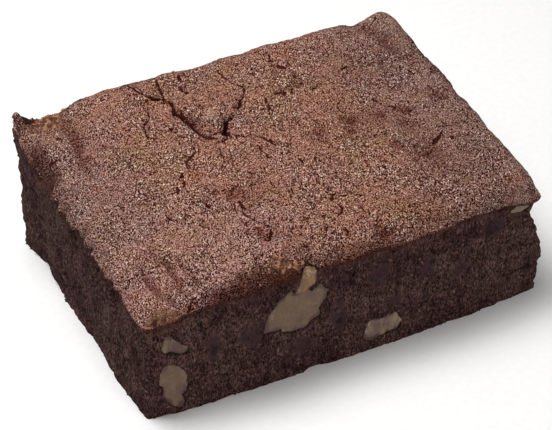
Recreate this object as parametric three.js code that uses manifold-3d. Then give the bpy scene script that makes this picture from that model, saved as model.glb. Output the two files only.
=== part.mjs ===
// A slice of walnut brownie, cut from a tray: a dark crumb block under a thin crackled crust, with pieces of
// walnut showing in its cut faces. Millimetres, +Z up, standing on its base, the long cut face towards -Y.
import * as THREE from "three";
import { mergeVertices } from "three/addons/utils/BufferGeometryUtils.js";
import Module from "manifold-3d";

const wasm = await Module();
wasm.setup();

// The slice
const LENGTH = 75; // left to right
const DEPTH = 54.5; // front to back
const HALF_LENGTH = LENGTH / 2;
const HALF_DEPTH = DEPTH / 2;
const PLATE = { frontLeft: 22.5, frontRight: 25.6, backLeft: 26.6, backRight: 27.2 }; // crust heights
const RIM = { frontLeft: 21.8, frontRight: 22.3, backLeft: 25.8, backRight: 27 }; // the crust's cut edge
const DOME = 1.8; // extra height of the crust along the middle of the back
const SHOULDER = { front: 4.5, left: 4.5, back: 3, right: 3.5 }; // reach of the crust's rolled edges
const CORNER_CUT = 0.35; // how far the upright corners are worn back
const GRID = { along: 48, across: 36, up: 11 }; // faces of the block's net

// Walnut pieces
const GAP = 0.3; // clearance between a walnut piece and its pocket
const PROUD = 0.15; // how far a cut walnut stands out of the crumb
const OUTLINE_STEPS = 20;
const DOME_STEPS = 4;

// Cracks
const CRACK_STEP = 1.5; // length of one stretch of a crack
const CRACK_ABOVE = 2; // how far the cutting blade reaches above the crust

const { abs, cos, exp, floor, max, min, PI, sin, sqrt } = Math;
const clamp = (t, low = 0, high = 1) => min(high, max(low, t));
const mix = (a, b, t) => a + (b - a) * t;
const bump = (t, centre, reach) => exp(-(((t - centre) / reach) ** 2));
const smooth = (low, high, t) => {
  const s = clamp((t - low) / (high - low));
  return s * s * (3 - 2 * s);
};

// Value noise, from -1 to 1, about one swell each unit
function lattice(i, j, k) {
  const s = sin(i * 127.1 + j * 311.7 + k * 74.7) * 43758.5453;
  return s - floor(s);
}

function noise(x, y, z) {
  const [i, j, k] = [floor(x), floor(y), floor(z)];
  const ease = (t) => t * t * (3 - 2 * t);
  const [a, b, c] = [ease(x - i), ease(y - j), ease(z - k)];
  const row = (dj, dk) => mix(lattice(i, j + dj, k + dk), lattice(i + 1, j + dj, k + dk), a);
  return 2 * mix(mix(row(0, 0), row(1, 0), b), mix(row(0, 1), row(1, 1), b), c) - 1;
}

// Height of the crust's broad top, its rolled edge left out of account
function plateHeight(x, y) {
  const u = x / HALF_LENGTH;
  const across = (u + 1) / 2;
  const back = (y / HALF_DEPTH + 1) / 2;
  const front = mix(PLATE.frontLeft, PLATE.frontRight, across);
  const rear = mix(PLATE.backLeft, PLATE.backRight, across);
  const dome = DOME * (1 - u ** 4) * mix(0.25, 1, back);
  const valley = 1.5 * bump(x, -31, 4) * bump(y, 27, 10); // between the lip and the dome
  const knob = 1.9 * bump(x, 36.5, 3.2) * bump(y, 22, 7); // risen back right corner
  const swell = 0.9 * bump(x, -19, 10) * back; // fuller part right of the valley
  return mix(front, rear, back) + dome + swell - valley + knob + softDents(x, y) + brokenPlate(x, y);
}

// Shallow dents in the crust
function softDents(x, y) {
  return (
    -0.7 * bump(x, 16, 3) * bump(y, 0.5, 3.5) -
    0.7 * bump(x, 24, 3.5) * bump(y, -4, 3) -
    0.6 * bump(x + y, -52, 3.5) * bump(x, -24, 9) + // slanting fold near the front left corner
    0.45 * noise(x / 9, y / 9, 3.5)
  );
}

// The crust that has sunk in the fork of the two large cracks
function brokenPlate(x, y) {
  const inside = smooth(-11.6, -9.8, x + 0.2 * (y - 10)) * smooth(1.4, -0.6, x - 0.85 * (y - 14.2));
  const sunk = -1.3 * inside * bump(y, 9.6, 3.4);
  const ridge = 0.7 * inside * bump(y, 16.2, 2.6);
  return sunk + ridge;
}

// Height at which the crust turns down into the cut faces
function rimHeight(x, y) {
  const across = (x / HALF_LENGTH + 1) / 2;
  const v = y / HALF_DEPTH;
  const back = mix(smooth(0.52, 1, v), (v + 1) / 2, across);
  const level = mix(
    mix(RIM.frontLeft, RIM.frontRight, across),
    mix(RIM.backLeft, RIM.backRight, across),
    back,
  );
  const frontLeftDroop = 1.8 * bump(x, -35, 8) * bump(y, -27, 12);
  const frontRightDroop = 1.3 * bump(x, 36, 5) * bump(y, -27, 4);
  const backLeftLip = 3.1 * bump(x, -36.8, 2.4) * bump(y, 27.5, 6);
  return level - frontLeftDroop - frontRightDroop + backLeftLip + 0.25 * noise(x / 3, y / 3, 8.5);
}

// Height of the crust anywhere, its rolled edge included
function topHeight(x, y) {
  const ex = clamp(1 - (HALF_LENGTH - abs(x)) / (x > 0 ? SHOULDER.right : SHOULDER.left));
  const ey = clamp(1 - (HALF_DEPTH - abs(y)) / (y > 0 ? SHOULDER.back : SHOULDER.front));
  const edge = min(1, (ex ** 3 + ey ** 3) ** (1 / 3));
  return mix(rimHeight(x, y), plateHeight(x, y), sqrt(1 - edge * edge));
}

// How far each cut face stands out, along its length t in mm and at height share w
const faceOut = {
  front: (t, w) =>
    0.35 +
    1.05 * (1 - abs(t / HALF_LENGTH) ** 3) * (1 - 0.35 * w) -
    0.6 * bump(t, -6.5, 2.5) * (1 - w) ** 3 -
    0.55 * bump(w, 0.86, 0.09),
  back: (t, w) => 0.7 * (1 - (t / HALF_LENGTH) ** 2) + 0.3 * bump(w, 0.4, 0.3) - 0.5 * bump(w, 0.88, 0.09),
  left: (t, w) =>
    (0.6 * bump(t, -17, 7) - 0.9 * bump(t, 19, 4)) * (1 - w) ** 2 +
    0.6 * smooth(0.6, 0.9, w) * smooth(12, 24, t) +
    0.35 * smooth(18, 26, abs(t)) -
    0.55 * bump(w, 0.84, 0.09) * (1 - smooth(10, 20, t)),
  right: (t, w) => 1.4 * bump(w, 0.28, 0.32) - mix(1.2, 0.5, smooth(-27, -12, t)) * bump(w, 0.82, 0.08) + 0.5,
};

// Crags of the crumb, in and out
function crag(x, y, z) {
  const broad = noise(x / 5, y / 5, z / 4);
  const fine = noise(x / 2.2 + 40, y / 2.2, z / 2.2);
  const pit = smooth(0.3, 0.85, noise(x / 3.4, y / 3.4 + 20, z / 3));
  return 0.3 * broad + 0.18 * fine - 0.55 * pit;
}

// Moves a point of the unit net, u and v from -1 to 1 and w from 0 to 1, to its place on the slice
function place(u, v, w) {
  const wear = CORNER_CUT * (abs(u) * abs(v)) ** 6;
  let x = u * HALF_LENGTH;
  let y = v * HALF_DEPTH;
  const share = w;
  const outX = (u > 0 ? faceOut.right : faceOut.left)(y, share) - wear;
  const outY = (v > 0 ? faceOut.back : faceOut.front)(x, share) - wear;
  const z = w * topHeight(x, y);
  const onSide = w < 1 && w > 0 ? 1 : 0.35;
  const rough = crag(x, y, z) * onSide;
  x += Math.sign(u) * abs(u) ** 5 * (outX + rough);
  y += Math.sign(v) * abs(v) ** 5 * (outY + rough);
  return [x, y, z];
}

// Spreads the net's lines a little closer together towards its edges
const denser = (t) => 0.6 * t + 0.4 * sin((t * PI) / 2);

function merged(geometry) {
  const bare = geometry.clone();
  bare.deleteAttribute("normal");
  bare.deleteAttribute("uv");
  return mergeVertices(bare, 1e-4);
}

function solidFrom(geometry) {
  return new wasm.Manifold(
    new wasm.Mesh({
      numProp: 3,
      vertProperties: geometry.attributes.position.array,
      triVerts: new Uint32Array(geometry.index.array),
    }),
  );
}

function geometryFrom(solid) {
  const mesh = solid.getMesh();
  const positions = new Float32Array(mesh.numVert * 3);
  for (let i = 0; i < mesh.numVert; i++)
    positions.set(mesh.vertProperties.subarray(i * mesh.numProp, i * mesh.numProp + 3), i * 3);
  const geometry = new THREE.BufferGeometry();
  geometry.setAttribute("position", new THREE.BufferAttribute(positions, 3));
  geometry.setIndex(new THREE.BufferAttribute(mesh.triVerts, 1));
  geometry.computeVertexNormals();
  return geometry;
}

// The block before pockets and cracks: a box's net, its flat base closed by one outline
function blockGeometry() {
  const box = new THREE.BoxGeometry(2, 2, 1, GRID.along, GRID.across, GRID.up);
  const base = box.groups[5]; // the box's side that faces down
  const index = Array.from(box.index.array);
  index.splice(base.start, base.count);
  box.setIndex(index);
  const net = merged(box);
  const position = net.attributes.position;
  const baseCorners = [];
  for (let i = 0; i < position.count; i++) {
    const [u, v] = [denser(position.getX(i)), denser(position.getY(i))];
    const w = position.getZ(i) + 0.5;
    if (w === 0) baseCorners.push(i);
    position.setXYZ(i, ...place(u, v, w));
  }
  const corners = baseCorners.map((i) => new THREE.Vector2(position.getX(i), position.getY(i)));
  const order = baseCorners
    .map((vertex, i) => ({ vertex, point: corners[i], turn: Math.atan2(corners[i].y, corners[i].x) }))
    .sort((a, b) => a.turn - b.turn);
  const faces = THREE.ShapeUtils.triangulateShape(
    order.map((corner) => corner.point),
    [],
  );
  const down = faces.flatMap(([a, b, c]) => [order[a].vertex, order[c].vertex, order[b].vertex]);
  net.setIndex([...Array.from(net.index.array), ...down]);
  return net;
}

// A closed form lofted through rings of the same number of points, its ends closed by fans
function loft(rings) {
  const points = rings.flat();
  const count = rings[0].length;
  const index = [];
  for (let r = 0; r + 1 < rings.length; r++)
    for (let i = 0; i < count; i++) {
      const [a, b] = [r * count + i, r * count + ((i + 1) % count)];
      index.push(a, b, a + count, b, b + count, a + count);
    }
  const fan = (first, flip) => {
    const centre = new THREE.Vector3();
    for (let i = 0; i < count; i++) centre.addScaledVector(points[first + i], 1 / count);
    points.push(centre);
    for (let i = 0; i < count; i++) {
      const [a, b] = [first + i, first + ((i + 1) % count)];
      index.push(points.length - 1, ...(flip ? [b, a] : [a, b]));
    }
  };
  fan(0, true);
  fan((rings.length - 1) * count, false);
  return new THREE.BufferGeometry().setFromPoints(points).setIndex(index);
}

// A walnut piece in its face's own frame: x along the face, +y into the crumb, z up, cut flat at y = 0.
// grown and reach make the larger form that its pocket is cut with.
function walnutForm({ outline, thick, seed }, grown = 0, reach = 0) {
  const curve = new THREE.SplineCurve([...outline, outline[0]].map(([x, z]) => new THREE.Vector2(x, z)));
  const section = curve.getSpacedPoints(OUTLINE_STEPS).slice(0, OUTLINE_STEPS);
  const centre = section
    .reduce((sum, p) => sum.add(p), new THREE.Vector2())
    .multiplyScalar(1 / OUTLINE_STEPS);
  const ring = (inward, scale) =>
    section.map((p) => {
      const out = p.clone().sub(centre);
      const lobes = inward > 0 ? 1 + 0.1 * noise(out.x / 2 + seed, inward / 2, out.y / 2) : 1;
      out.multiplyScalar(scale * lobes * (1 + grown / out.length()));
      return new THREE.Vector3(centre.x + out.x, inward, centre.y + out.y);
    });
  const rings = [ring(-reach, 1)];
  if (reach > 0) rings.push(ring(0, 1));
  for (let i = 1; i < DOME_STEPS; i++) {
    const turn = (i / DOME_STEPS) * (PI / 2);
    rings.push(ring((thick + grown) * sin(turn), cos(turn) * 0.98 + 0.02));
  }
  rings.push(ring(thick + grown, 0.12));
  return loft(rings);
}

// The cut faces: their turn about the upright, and the net's point at a share t along them
const FACES = {
  front: { turn: 0, net: (t) => [t / HALF_LENGTH, -1] },
  right: { turn: PI / 2, net: (t) => [1, t / HALF_DEPTH] },
  back: { turn: PI, net: (t) => [-t / HALF_LENGTH, 1] },
};

// How far the crumb stands out from the middle of the slice, at a point of a cut face
function faceDistance(face, along, height) {
  const [u, v] = FACES[face].net(along);
  const [x, y] = place(u, v, height / topHeight(u * HALF_LENGTH, v * HALF_DEPTH));
  return face === "right" ? x : abs(y);
}

// Walnut pieces: outlines are points (along the face, height) in mm, seen from outside the face
const WALNUTS = [
  {
    name: "walnut_front_large",
    face: "front",
    thick: 5,
    outline: [
      [-16.2, 11.3], [-15.2, 15.4], [-12.6, 17.6], [-8.4, 18.3], // along its top
      [-4.5, 17.4], [-5.4, 13.4], [-7.8, 10.6], [-11.6, 10], // and back below
    ],
  },
  {
    name: "walnut_front_chip",
    face: "front",
    thick: 2,
    lean: -0.3,
    outline: [[-10.9, 19.1], [-9.6, 20.7], [-8.5, 22.1], [-6.4, 21.8], [-6, 20.4], [-6.5, 19.1]],
  },
  {
    name: "walnut_front_low",
    face: "front",
    thick: 4.5,
    outline: [[2.6, 4.5], [3.9, 6.4], [7.2, 6.8], [10.2, 5.9], [11.2, 4.5], [8.8, 3.1], [6.1, 2.3]],
  },
  {
    name: "walnut_corner_upper",
    face: "front",
    thick: 3,
    outline: [[-34.5, 14.9], [-33, 16.7], [-31.5, 16.2], [-29.9, 14.4], [-30.4, 13.1], [-32.4, 12.8]],
  },
  {
    name: "walnut_corner_lower",
    face: "front",
    thick: 4,
    outline: [
      [-35.4, 8.4], [-34.2, 11.2], [-31.8, 10.8], [-30.4, 8], // round its top
      [-30.9, 4.6], [-30.9, 2.2], [-33.4, 1.7], [-35.2, 3.6], // and its foot
    ],
  },
  {
    name: "walnut_right_tip",
    face: "front",
    thick: 3,
    outline: [[31.2, 18.9], [33.2, 20], [35.4, 19.8], [35.4, 18.9], [33.2, 18.3]],
  },
  {
    name: "walnut_right_side",
    face: "right",
    thick: 4.5,
    outline: [[-11.5, 9], [-9.4, 12.6], [-5.2, 12.9], [-3.2, 10.2], [-5.2, 7.3], [-9.2, 6.7]],
  },
  {
    name: "walnut_back_large",
    face: "back",
    thick: 5,
    outline: [[6.5, 13.6], [9.4, 17.2], [14.8, 17], [17.4, 13.9], [15.2, 10.6], [9.6, 10.4]],
  },
  {
    name: "walnut_back_low",
    face: "back",
    thick: 4,
    outline: [[-22.6, 6.4], [-20.2, 8.6], [-16.6, 8.1], [-15.4, 5.4], [-18, 3.6], [-21.4, 3.9]],
  },
];

// Places a walnut's mesh on its face, its cut side standing just proud of the crumb
function settle(mesh, { face, outline, lean = 0 }) {
  const up = outline.reduce((sum, [, z]) => sum + z, 0) / outline.length;
  const { turn } = FACES[face];
  const crumbOut = outline.reduce((sum, point) => sum + faceDistance(face, ...point), 0) / outline.length;
  const hinge = new THREE.Matrix4().makeTranslation(0, 0, up);
  const tilt = hinge
    .multiply(new THREE.Matrix4().makeRotationX(lean))
    .multiply(new THREE.Matrix4().makeTranslation(0, 0, -up));
  const frame = new THREE.Matrix4()
    .makeRotationZ(turn)
    .multiply(new THREE.Matrix4().makeTranslation(0, -crumbOut - PROUD, 0))
    .multiply(tilt);
  mesh.applyMatrix4(frame);
  mesh.updateMatrixWorld(true);
  return mesh;
}

// Cracks in the crust: points (x, y) on the crust, with the width and depth at the crack's middle
const CRACKS = [
  {
    path: [[-16.4, 25.2], [-14, 21.1], [-11.9, 18.9], [-11.2, 16.8], [-11.9, 14.2], [-10.4, 11.4], [-8.6, 7]],
    wide: 0.9,
    deep: 1.5,
  },
  {
    path: [[0.7, 22.6], [0.9, 18.4], [2.5, 16.2], [-1.6, 11.4], [-3.8, 10.6], [-5.7, 5.7], [-8.2, 4.7]],
    wide: 1.1,
    deep: 1.6,
  },
  { path: [[-9.7, 8.4], [-8.4, 7.3], [-6.8, 7.8], [-5.2, 8.9]], wide: 0.8, deep: 1 },
  { path: [[-16.3, 17], [-17.8, 14.6], [-19.1, 11.9], [-19, 10.2]], wide: 0.5, deep: 0.5 },
  { path: [[-12.2, -12.6], [-12, -14.6], [-11, -16.6], [-9.9, -18.3]], wide: 0.5, deep: 0.6 },
  { path: [[-33.2, 24.4], [-34.6, 21.8], [-35.8, 19], [-36.6, 15.8]], wide: 1.1, deep: 1.1 },
];

// A blade with a V section that follows a crack and runs out to a point at both ends
function crackBlade({ path, wide, deep }) {
  const curve = new THREE.SplineCurve(path.map(([x, y]) => new THREE.Vector2(x, y)));
  const steps = max(4, Math.round(curve.getLength() / CRACK_STEP));
  const rings = [];
  for (let i = 0; i <= steps; i++) {
    const point = curve.getPointAt(i / steps);
    const tangent = curve.getTangentAt(i / steps);
    const strength = 0.12 + 0.88 * sin((PI * i) / steps) ** 0.7;
    const floorLevel = topHeight(point.x, point.y) - deep * strength;
    const rise = deep * strength + CRACK_ABOVE;
    const half = ((wide / 2) * strength * rise) / (deep * strength);
    const [nx, ny] = [-tangent.y * half, tangent.x * half];
    rings.push([
      new THREE.Vector3(point.x - nx, point.y - ny, floorLevel + rise),
      new THREE.Vector3(point.x, point.y, floorLevel),
      new THREE.Vector3(point.x + nx, point.y + ny, floorLevel + rise),
    ]);
  }
  return loft(rings);
}

const crumb = new THREE.MeshStandardMaterial({ name: "baked_brownie", color: "#6b4638", roughness: 0.85 });
const nut = new THREE.MeshStandardMaterial({ name: "walnut", color: "#b39a76", roughness: 0.6 });

function build() {
  const group = new THREE.Group();
  let block = solidFrom(blockGeometry());
  for (const crack of CRACKS) block = block.subtract(solidFrom(merged(crackBlade(crack))));
  const nuts = [];
  WALNUTS.forEach((walnut, seed) => {
    const piece = { ...walnut, seed: seed * 7.3 };
    const pocket = settle(new THREE.Mesh(walnutForm(piece, GAP, 4)), walnut);
    const cutter = merged(pocket.geometry).applyMatrix4(pocket.matrixWorld);
    block = block.subtract(solidFrom(cutter));
    const mesh = settle(new THREE.Mesh(walnutForm(piece), nut), walnut);
    mesh.name = walnut.name;
    nuts.push(mesh);
  });
  const brownie = new THREE.Mesh(geometryFrom(block), crumb);
  brownie.name = "brownie";
  group.add(brownie, ...nuts);
  const box = new THREE.Box3().setFromObject(group);
  const middle = box.getCenter(new THREE.Vector3());
  group.position.set(-middle.x, -middle.y, -box.min.z);
  const frame = new THREE.Group();
  frame.add(group);
  return frame;
}

export default build();
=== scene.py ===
"""A slice of walnut brownie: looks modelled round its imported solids. Forms are worked out in millimetres."""

import functools
import math

import bpy
import numpy as np
from mathutils import Matrix, Vector


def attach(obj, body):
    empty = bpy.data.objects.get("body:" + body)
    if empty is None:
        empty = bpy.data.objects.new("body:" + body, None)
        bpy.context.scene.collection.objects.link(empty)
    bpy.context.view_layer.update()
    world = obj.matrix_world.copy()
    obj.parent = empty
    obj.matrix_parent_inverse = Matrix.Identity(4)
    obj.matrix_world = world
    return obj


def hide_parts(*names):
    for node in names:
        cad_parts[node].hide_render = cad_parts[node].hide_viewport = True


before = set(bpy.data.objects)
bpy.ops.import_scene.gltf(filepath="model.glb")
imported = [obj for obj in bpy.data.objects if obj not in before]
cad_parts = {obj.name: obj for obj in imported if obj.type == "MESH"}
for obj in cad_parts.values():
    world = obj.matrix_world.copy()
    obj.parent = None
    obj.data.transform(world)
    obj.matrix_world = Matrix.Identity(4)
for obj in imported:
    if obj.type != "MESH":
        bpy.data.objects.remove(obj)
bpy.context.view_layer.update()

bl_info = {
    "name": "Walnut brownie",
    "version": (1, 0, 0),
    "blender": (4, 5, 0),
    "location": "3D View > Sidebar > Brownie",
    "description": "Dresses a slice of walnut brownie: crackled crust, cut crumb and walnut pieces",
    "category": "Object",
}

MM = 0.001
CENTRING = np.array([-0.571, 0.149, 0.0])  # from the middle of the form to the middle of its box, mm

# The slice, mm. The heights at its corners are the crust's middle's, carried outwards, and its rolled edge's.
LENGTH, DEPTH = 75.0, 54.5
HALF_LENGTH, HALF_DEPTH = LENGTH / 2, DEPTH / 2
PLATE = {"front_left": 22.5, "front_right": 25.6, "back_left": 26.6, "back_right": 27.2}
RIM = {"front_left": 21.8, "front_right": 22.3, "back_left": 25.8, "back_right": 27.0}
DOME = 1.8  # how far the crust rises between its edges
SHOULDER = {"front": 4.5, "left": 4.5, "back": 3.0, "right": 3.5}  # how far in the crust begins to roll over
CORNER_CUT = 0.35  # how much is worn off each upright corner
BLUNT_CORNER, BLUNT_REACH = 1.3, 2.2  # how much more is worn off the crust's back right corner, how far in

# Crust lid: rings below its edge, as (drop, how far inwards), mm. The last two are hidden inside.
SKIRT = ((0.2, -0.1), (0.5, -0.12), (0.85, -0.05), (1.2, 0.15), (1.55, 0.55), (1.75, 1.8), (5.0, 4.2))
LID_DEPTH = 4.5  # the hidden underside's depth below the crust's broad height, mm

# Crumb block: how its top turns in under the crust, as (depth below the crust's top, how far inwards), mm
TUCK = ((0.8, 0.5), (1.4, 1.0), (1.9, 1.6), (2.6, 2.4), (5.0, 5.0))
WALL_TOP = 0.75  # the wall ends this far below the crust's edge, behind the crust's skirt, mm
POCKET = 1.0  # the crumb lies this far in behind a walnut's cut side, mm

# Cracks in the crust: (width mm, depth mm, points x and y in mm)
CRACKS = (
    (0.95, 1.6, (
        (-16.6, 25.6), (-15.6, 23.2), (-14.0, 21.2), (-13.5, 19.9), (-12.0, 19.2), (-11.4, 17.5),
        (-11.4, 15.6), (-12.0, 14.3), (-11.2, 12.4), (-10.1, 10.6), (-9.8, 8.4), (-9.0, 7.2),
    )),
    (1.5, 1.9, (
        (-12.2, 15.6), (-11.7, 14.2), (-11.1, 12.6), (-10.4, 11.2), (-9.9, 9.4), (-9.5, 7.4), (-8.9, 6.2),
    )),
    (0.5, 0.5, ((-10.6, 24.8), (-11.3, 23.2), (-11.7, 21.7), (-11.6, 19.6))),
    (0.5, 0.5, ((-6.3, 24.4), (-6.8, 23.2), (-6.2, 22.2))),
    (0.5, 0.5, ((-7.7, 21.4), (-8.1, 20.4), (-7.6, 18.6))),
    (0.6, 0.7, (
        (0.8, 22.9), (0.6, 21.5), (1.0, 17.6), (2.4, 16.2), (1.5, 14.7), (0.2, 13.4), (-0.4, 12.2),
        (-1.6, 11.4),
    )),
    (1.6, 1.9, ((-1.3, 10.5), (-2.6, 11.2), (-3.8, 10.7), (-5.0, 8.9), (-5.8, 6.8), (-5.6, 5.2))),
    (0.7, 0.8, ((-5.4, 6.6), (-6.8, 5.2), (-8.6, 4.7))),
    (0.9, 0.9, ((0.3, 13.5), (-0.2, 12.6), (-1.4, 12.7))),
    (0.6, 0.6, ((-9.4, 8.3), (-8.4, 8.0), (-7.4, 8.4), (-5.6, 8.8))),
    (0.45, 0.45, ((-9.1, 3.3), (-9.4, 2.0), (-8.8, 0.8), (-8.1, -0.4))),
    (0.45, 0.4, ((-5.4, 16.9), (-4.7, 16.1), (-4.3, 15.2))),
    (0.5, 0.5, ((-16.2, 17.0), (-17.3, 15.1), (-18.6, 13.6), (-19.2, 11.8), (-19.0, 10.2))),
    (0.4, 0.35, ((-15.7, 20.8), (-16.3, 19.6), (-16.2, 18.4), (-15.6, 17.4))),
    (0.45, 0.4, ((-12.0, 7.7), (-12.7, 6.2), (-12.9, 4.6), (-14.2, 3.2), (-15.8, 2.2), (-16.3, 0.1))),
    (0.45, 0.4, ((-13.3, -6.9), (-12.2, -6.4), (-11.0, -6.3))),
    (0.6, 0.7, ((-12.3, -12.5), (-12.2, -14.3), (-11.4, -15.8), (-10.8, -17.0), (-9.8, -18.3))),
    (0.5, 0.4, ((-20.7, -12.9), (-19.3, -13.9))),
    (0.8, 0.7, ((20.9, 14.1), (22.4, 13.7))),
    (0.7, 0.6, ((21.4, 3.5), (22.6, 2.6))),
    (0.45, 0.4, ((4.9, 12.5), (4.6, 11.2), (4.0, 9.6), (4.9, 8.6))),
    (0.45, 0.4, ((-4.9, 5.4), (-2.6, 4.0))),
    (0.5, 0.45, ((-2.0, 3.7), (-0.6, 2.9), (0.3, 1.6))),
)
# Fine broken cracks: points x and y in mm. They share one width and one depth, also in mm.
FINE_CRACKS = (
    ((-0.6, 2.4), (0.4, 2.0), (0.4, 1.3), (0.6, 0.6), (0.8, -0.1)),
    ((1.4, -0.9), (2.7, -0.8)),
    ((1.0, -2.9), (2.5, -2.8)),
    ((2.5, -4.7), (2.5, -5.6), (2.3, -6.7)),
    ((2.9, -7.6), (3.2, -8.4), (3.6, -9.2)),
    ((3.4, -10.0), (3.2, -11.6)),
    ((3.0, -12.5), (3.0, -13.4)),
    ((3.1, -13.9), (3.3, -14.8)),
    ((3.9, -15.3), (3.0, -16.1), (2.3, -17.1)),
    ((5.2, -15.7), (6.3, -16.4), (7.1, -17.4), (8.1, -18.3)),
    ((-2.4, -10.8), (-2.5, -12.2), (-2.5, -13.0)),
    ((-2.0, -13.3), (-1.6, -14.1), (-1.1, -15.3)),
    ((-2.0, 0.9), (-2.4, -0.5)),
    ((-2.4, -1.3), (-2.3, -2.4)),
    ((-4.7, -7.8), (-4.7, -9.1)),
    ((-11.6, -10.1), (-11.8, -11.3), (-11.7, -12.4)),
    ((-10.3, -18.5), (-10.3, -19.3), (-11.2, -20.4), (-12.2, -20.4)),
    ((-6.3, -19.6), (-7.3, -20.2), (-7.3, -21.1)),
    ((-6.4, -21.3), (-6.1, -21.9)),
    ((-7.4, -23.8), (-6.0, -24.4)),
    ((-4.6, -19.2), (-3.9, -18.9), (-3.2, -19.1)),
    ((-1.7, -16.5), (-1.1, -15.9)),
    ((-1.1, -16.7), (-1.2, -17.7)),
    ((3.1, -17.9), (3.1, -19.1), (2.3, -19.9), (1.2, -20.8)),
    ((-2.5, -22.3), (-1.1, -22.5)),
    ((-1.5, -23.7), (-0.4, -23.6)),
    ((1.2, -23.4), (1.3, -24.4), (0.8, -25.0)),
    ((-4.9, -22.9), (-3.8, -22.4)),
    ((-1.1, -20.0), (-0.1, -19.7)),
    ((14.2, -13.4), (14.9, -14.6)),
)
FINE_WIDTH, FINE_DEPTH = 0.5, 0.5
# Pinholes a little larger than the crust's usual ones: middle x and y in mm
PINHOLES = (
    (5.6, -7.8), (5.3, -7.1), (5.1, -6.1), (5.0, -11.2), (6.2, -11.4), (5.0, -10.1), (-2.7, -10.2),
    (0.4, -2.4), (7.4, -7.0), (-6.7, -17.4), (-6.0, -18.0), (-4.0, -9.3), (-5.6, -7.5), (-11.7, -12.3),
    (0.5, -21.2),
)
PINHOLE = (0.5, 20, 0.55)  # the length, direction and width of each, as a slit
# Short slits in the crust: (middle x, middle y, length, direction in degrees, width), mm
SLITS = (
    (7.8, 12.6, 2.0, -18, 0.7), (14.0, 10.9, 1.9, 9, 1.0), (14.5, 8.8, 1.2, -86, 0.5),
    (21.6, 14.0, 1.4, 22, 0.9), (13.0, 19.6, 1.5, -72, 0.6), (9.8, 3.0, 2.4, -77, 0.4),
    (-18.0, -0.4, 1.6, -124, 0.6), (-18.7, -2.8, 1.8, -121, 0.4), (-20.3, -4.2, 1.2, -115, 0.5),
    (-14.9, -6.5, 1.4, 26, 0.6), (-2.2, -0.9, 3.1, -85, 0.4), (-23.2, -0.2, 1.5, -5, 0.5),
    (-24.3, -9.1, 0.8, -54, 0.8), (-17.3, -8.9, 1.4, -98, 0.4), (19.9, -14.7, 1.5, -63, 0.4),
    (23.3, -22.2, 1.3, -40, 0.8), (21.8, 3.0, 1.1, -77, 1.0), (32.2, 8.3, 2.0, -73, 0.4),
    (26.8, -10.6, 3.8, 38, 0.5), (26.2, -1.8, 0.7, -36, 0.7),
)
# Patches on the crust, each with its middle x and y and its reach in mm: soft sunken places darkened with
# painted shade, reddish and olive ones, ones with calmer sand, and ones a shade darker
PATCHES = {
    "dent": (
        (16.5, 0.6, 1.5), (20.8, -0.8, 1.4), (25.7, -0.9, 1.4), (23.8, -4.1, 1.3), (14.3, -2.3, 1.2),
        (8.7, -0.2, 1.6), (11.9, 13.9, 1.4), (-11.6, -8.3, 1.5), (18.8, -9.8, 1.3), (7.1, -26.0, 1.8),
        (-11.1, -19.2, 1.6), (23.6, -13.7, 2.4), (32.8, 0.4, 1.4), (-10.1, 12.9, 1.3), (-9.2, 10.6, 1.3),
        (-8.6, 12.6, 1.0),
    ),
    "ruddy": ((-2.4, -7.5, 4.0), (-16.2, -2.1, 2.4), (-8.7, -22.3, 3.0), (-29.0, -26.0, 4.0)),
    "olive": (
        (-15.9, 2.8, 1.8), (-10.9, -11.1, 2.6), (-15.7, -11.7, 2.2), (-21.9, 8.7, 4.0), (12.2, -6.2, 4.0),
        (11.1, -13.6, 2.6), (10.2, -22.5, 2.4), (-4.9, -10.9, 2.2), (5.0, 11.0, 5.0),
    ),
    "calm": (
        (-28.9, -11.1, 5.0), (-6.7, -1.5, 4.0), (-3.5, -15.3, 3.5), (-11.0, -19.0, 3.0), (24.0, 4.0, 4.0),
        (-32.8, 18.5, 2.2), (-20.0, -20.0, 3.0), (28.0, -12.0, 5.0),
    ),
    "dusky": (
        (34.0, 19.0, 6.0), (25.0, 14.0, 6.0), (17.0, 0.0, 5.0), (25.0, -9.0, 5.0), (22.0, -19.0, 5.0),
        (-8.0, -9.0, 3.0), (-8.0, -24.0, 3.5), (15.9, -26.0, 4.0), (29.0, -19.0, 5.0),
    ),
}
# Where painted shade darkens the sunken plate, along the foot of the step beside it: points x and y in mm
SHADED_PLATE_FOOT = (
    (-11.4, 14.8), (-10.9, 13.7), (-10.3, 12.3), (-9.6, 10.9), (-9.1, 9.1), (-8.7, 7.3), (-8.2, 6.2),
)
CRACK_WANDER = 0.32  # how far the cracks stray from their points, mm
CRACKLE_PLATE = 5.5  # the size of a plate of the hairline crackle, mm

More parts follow.
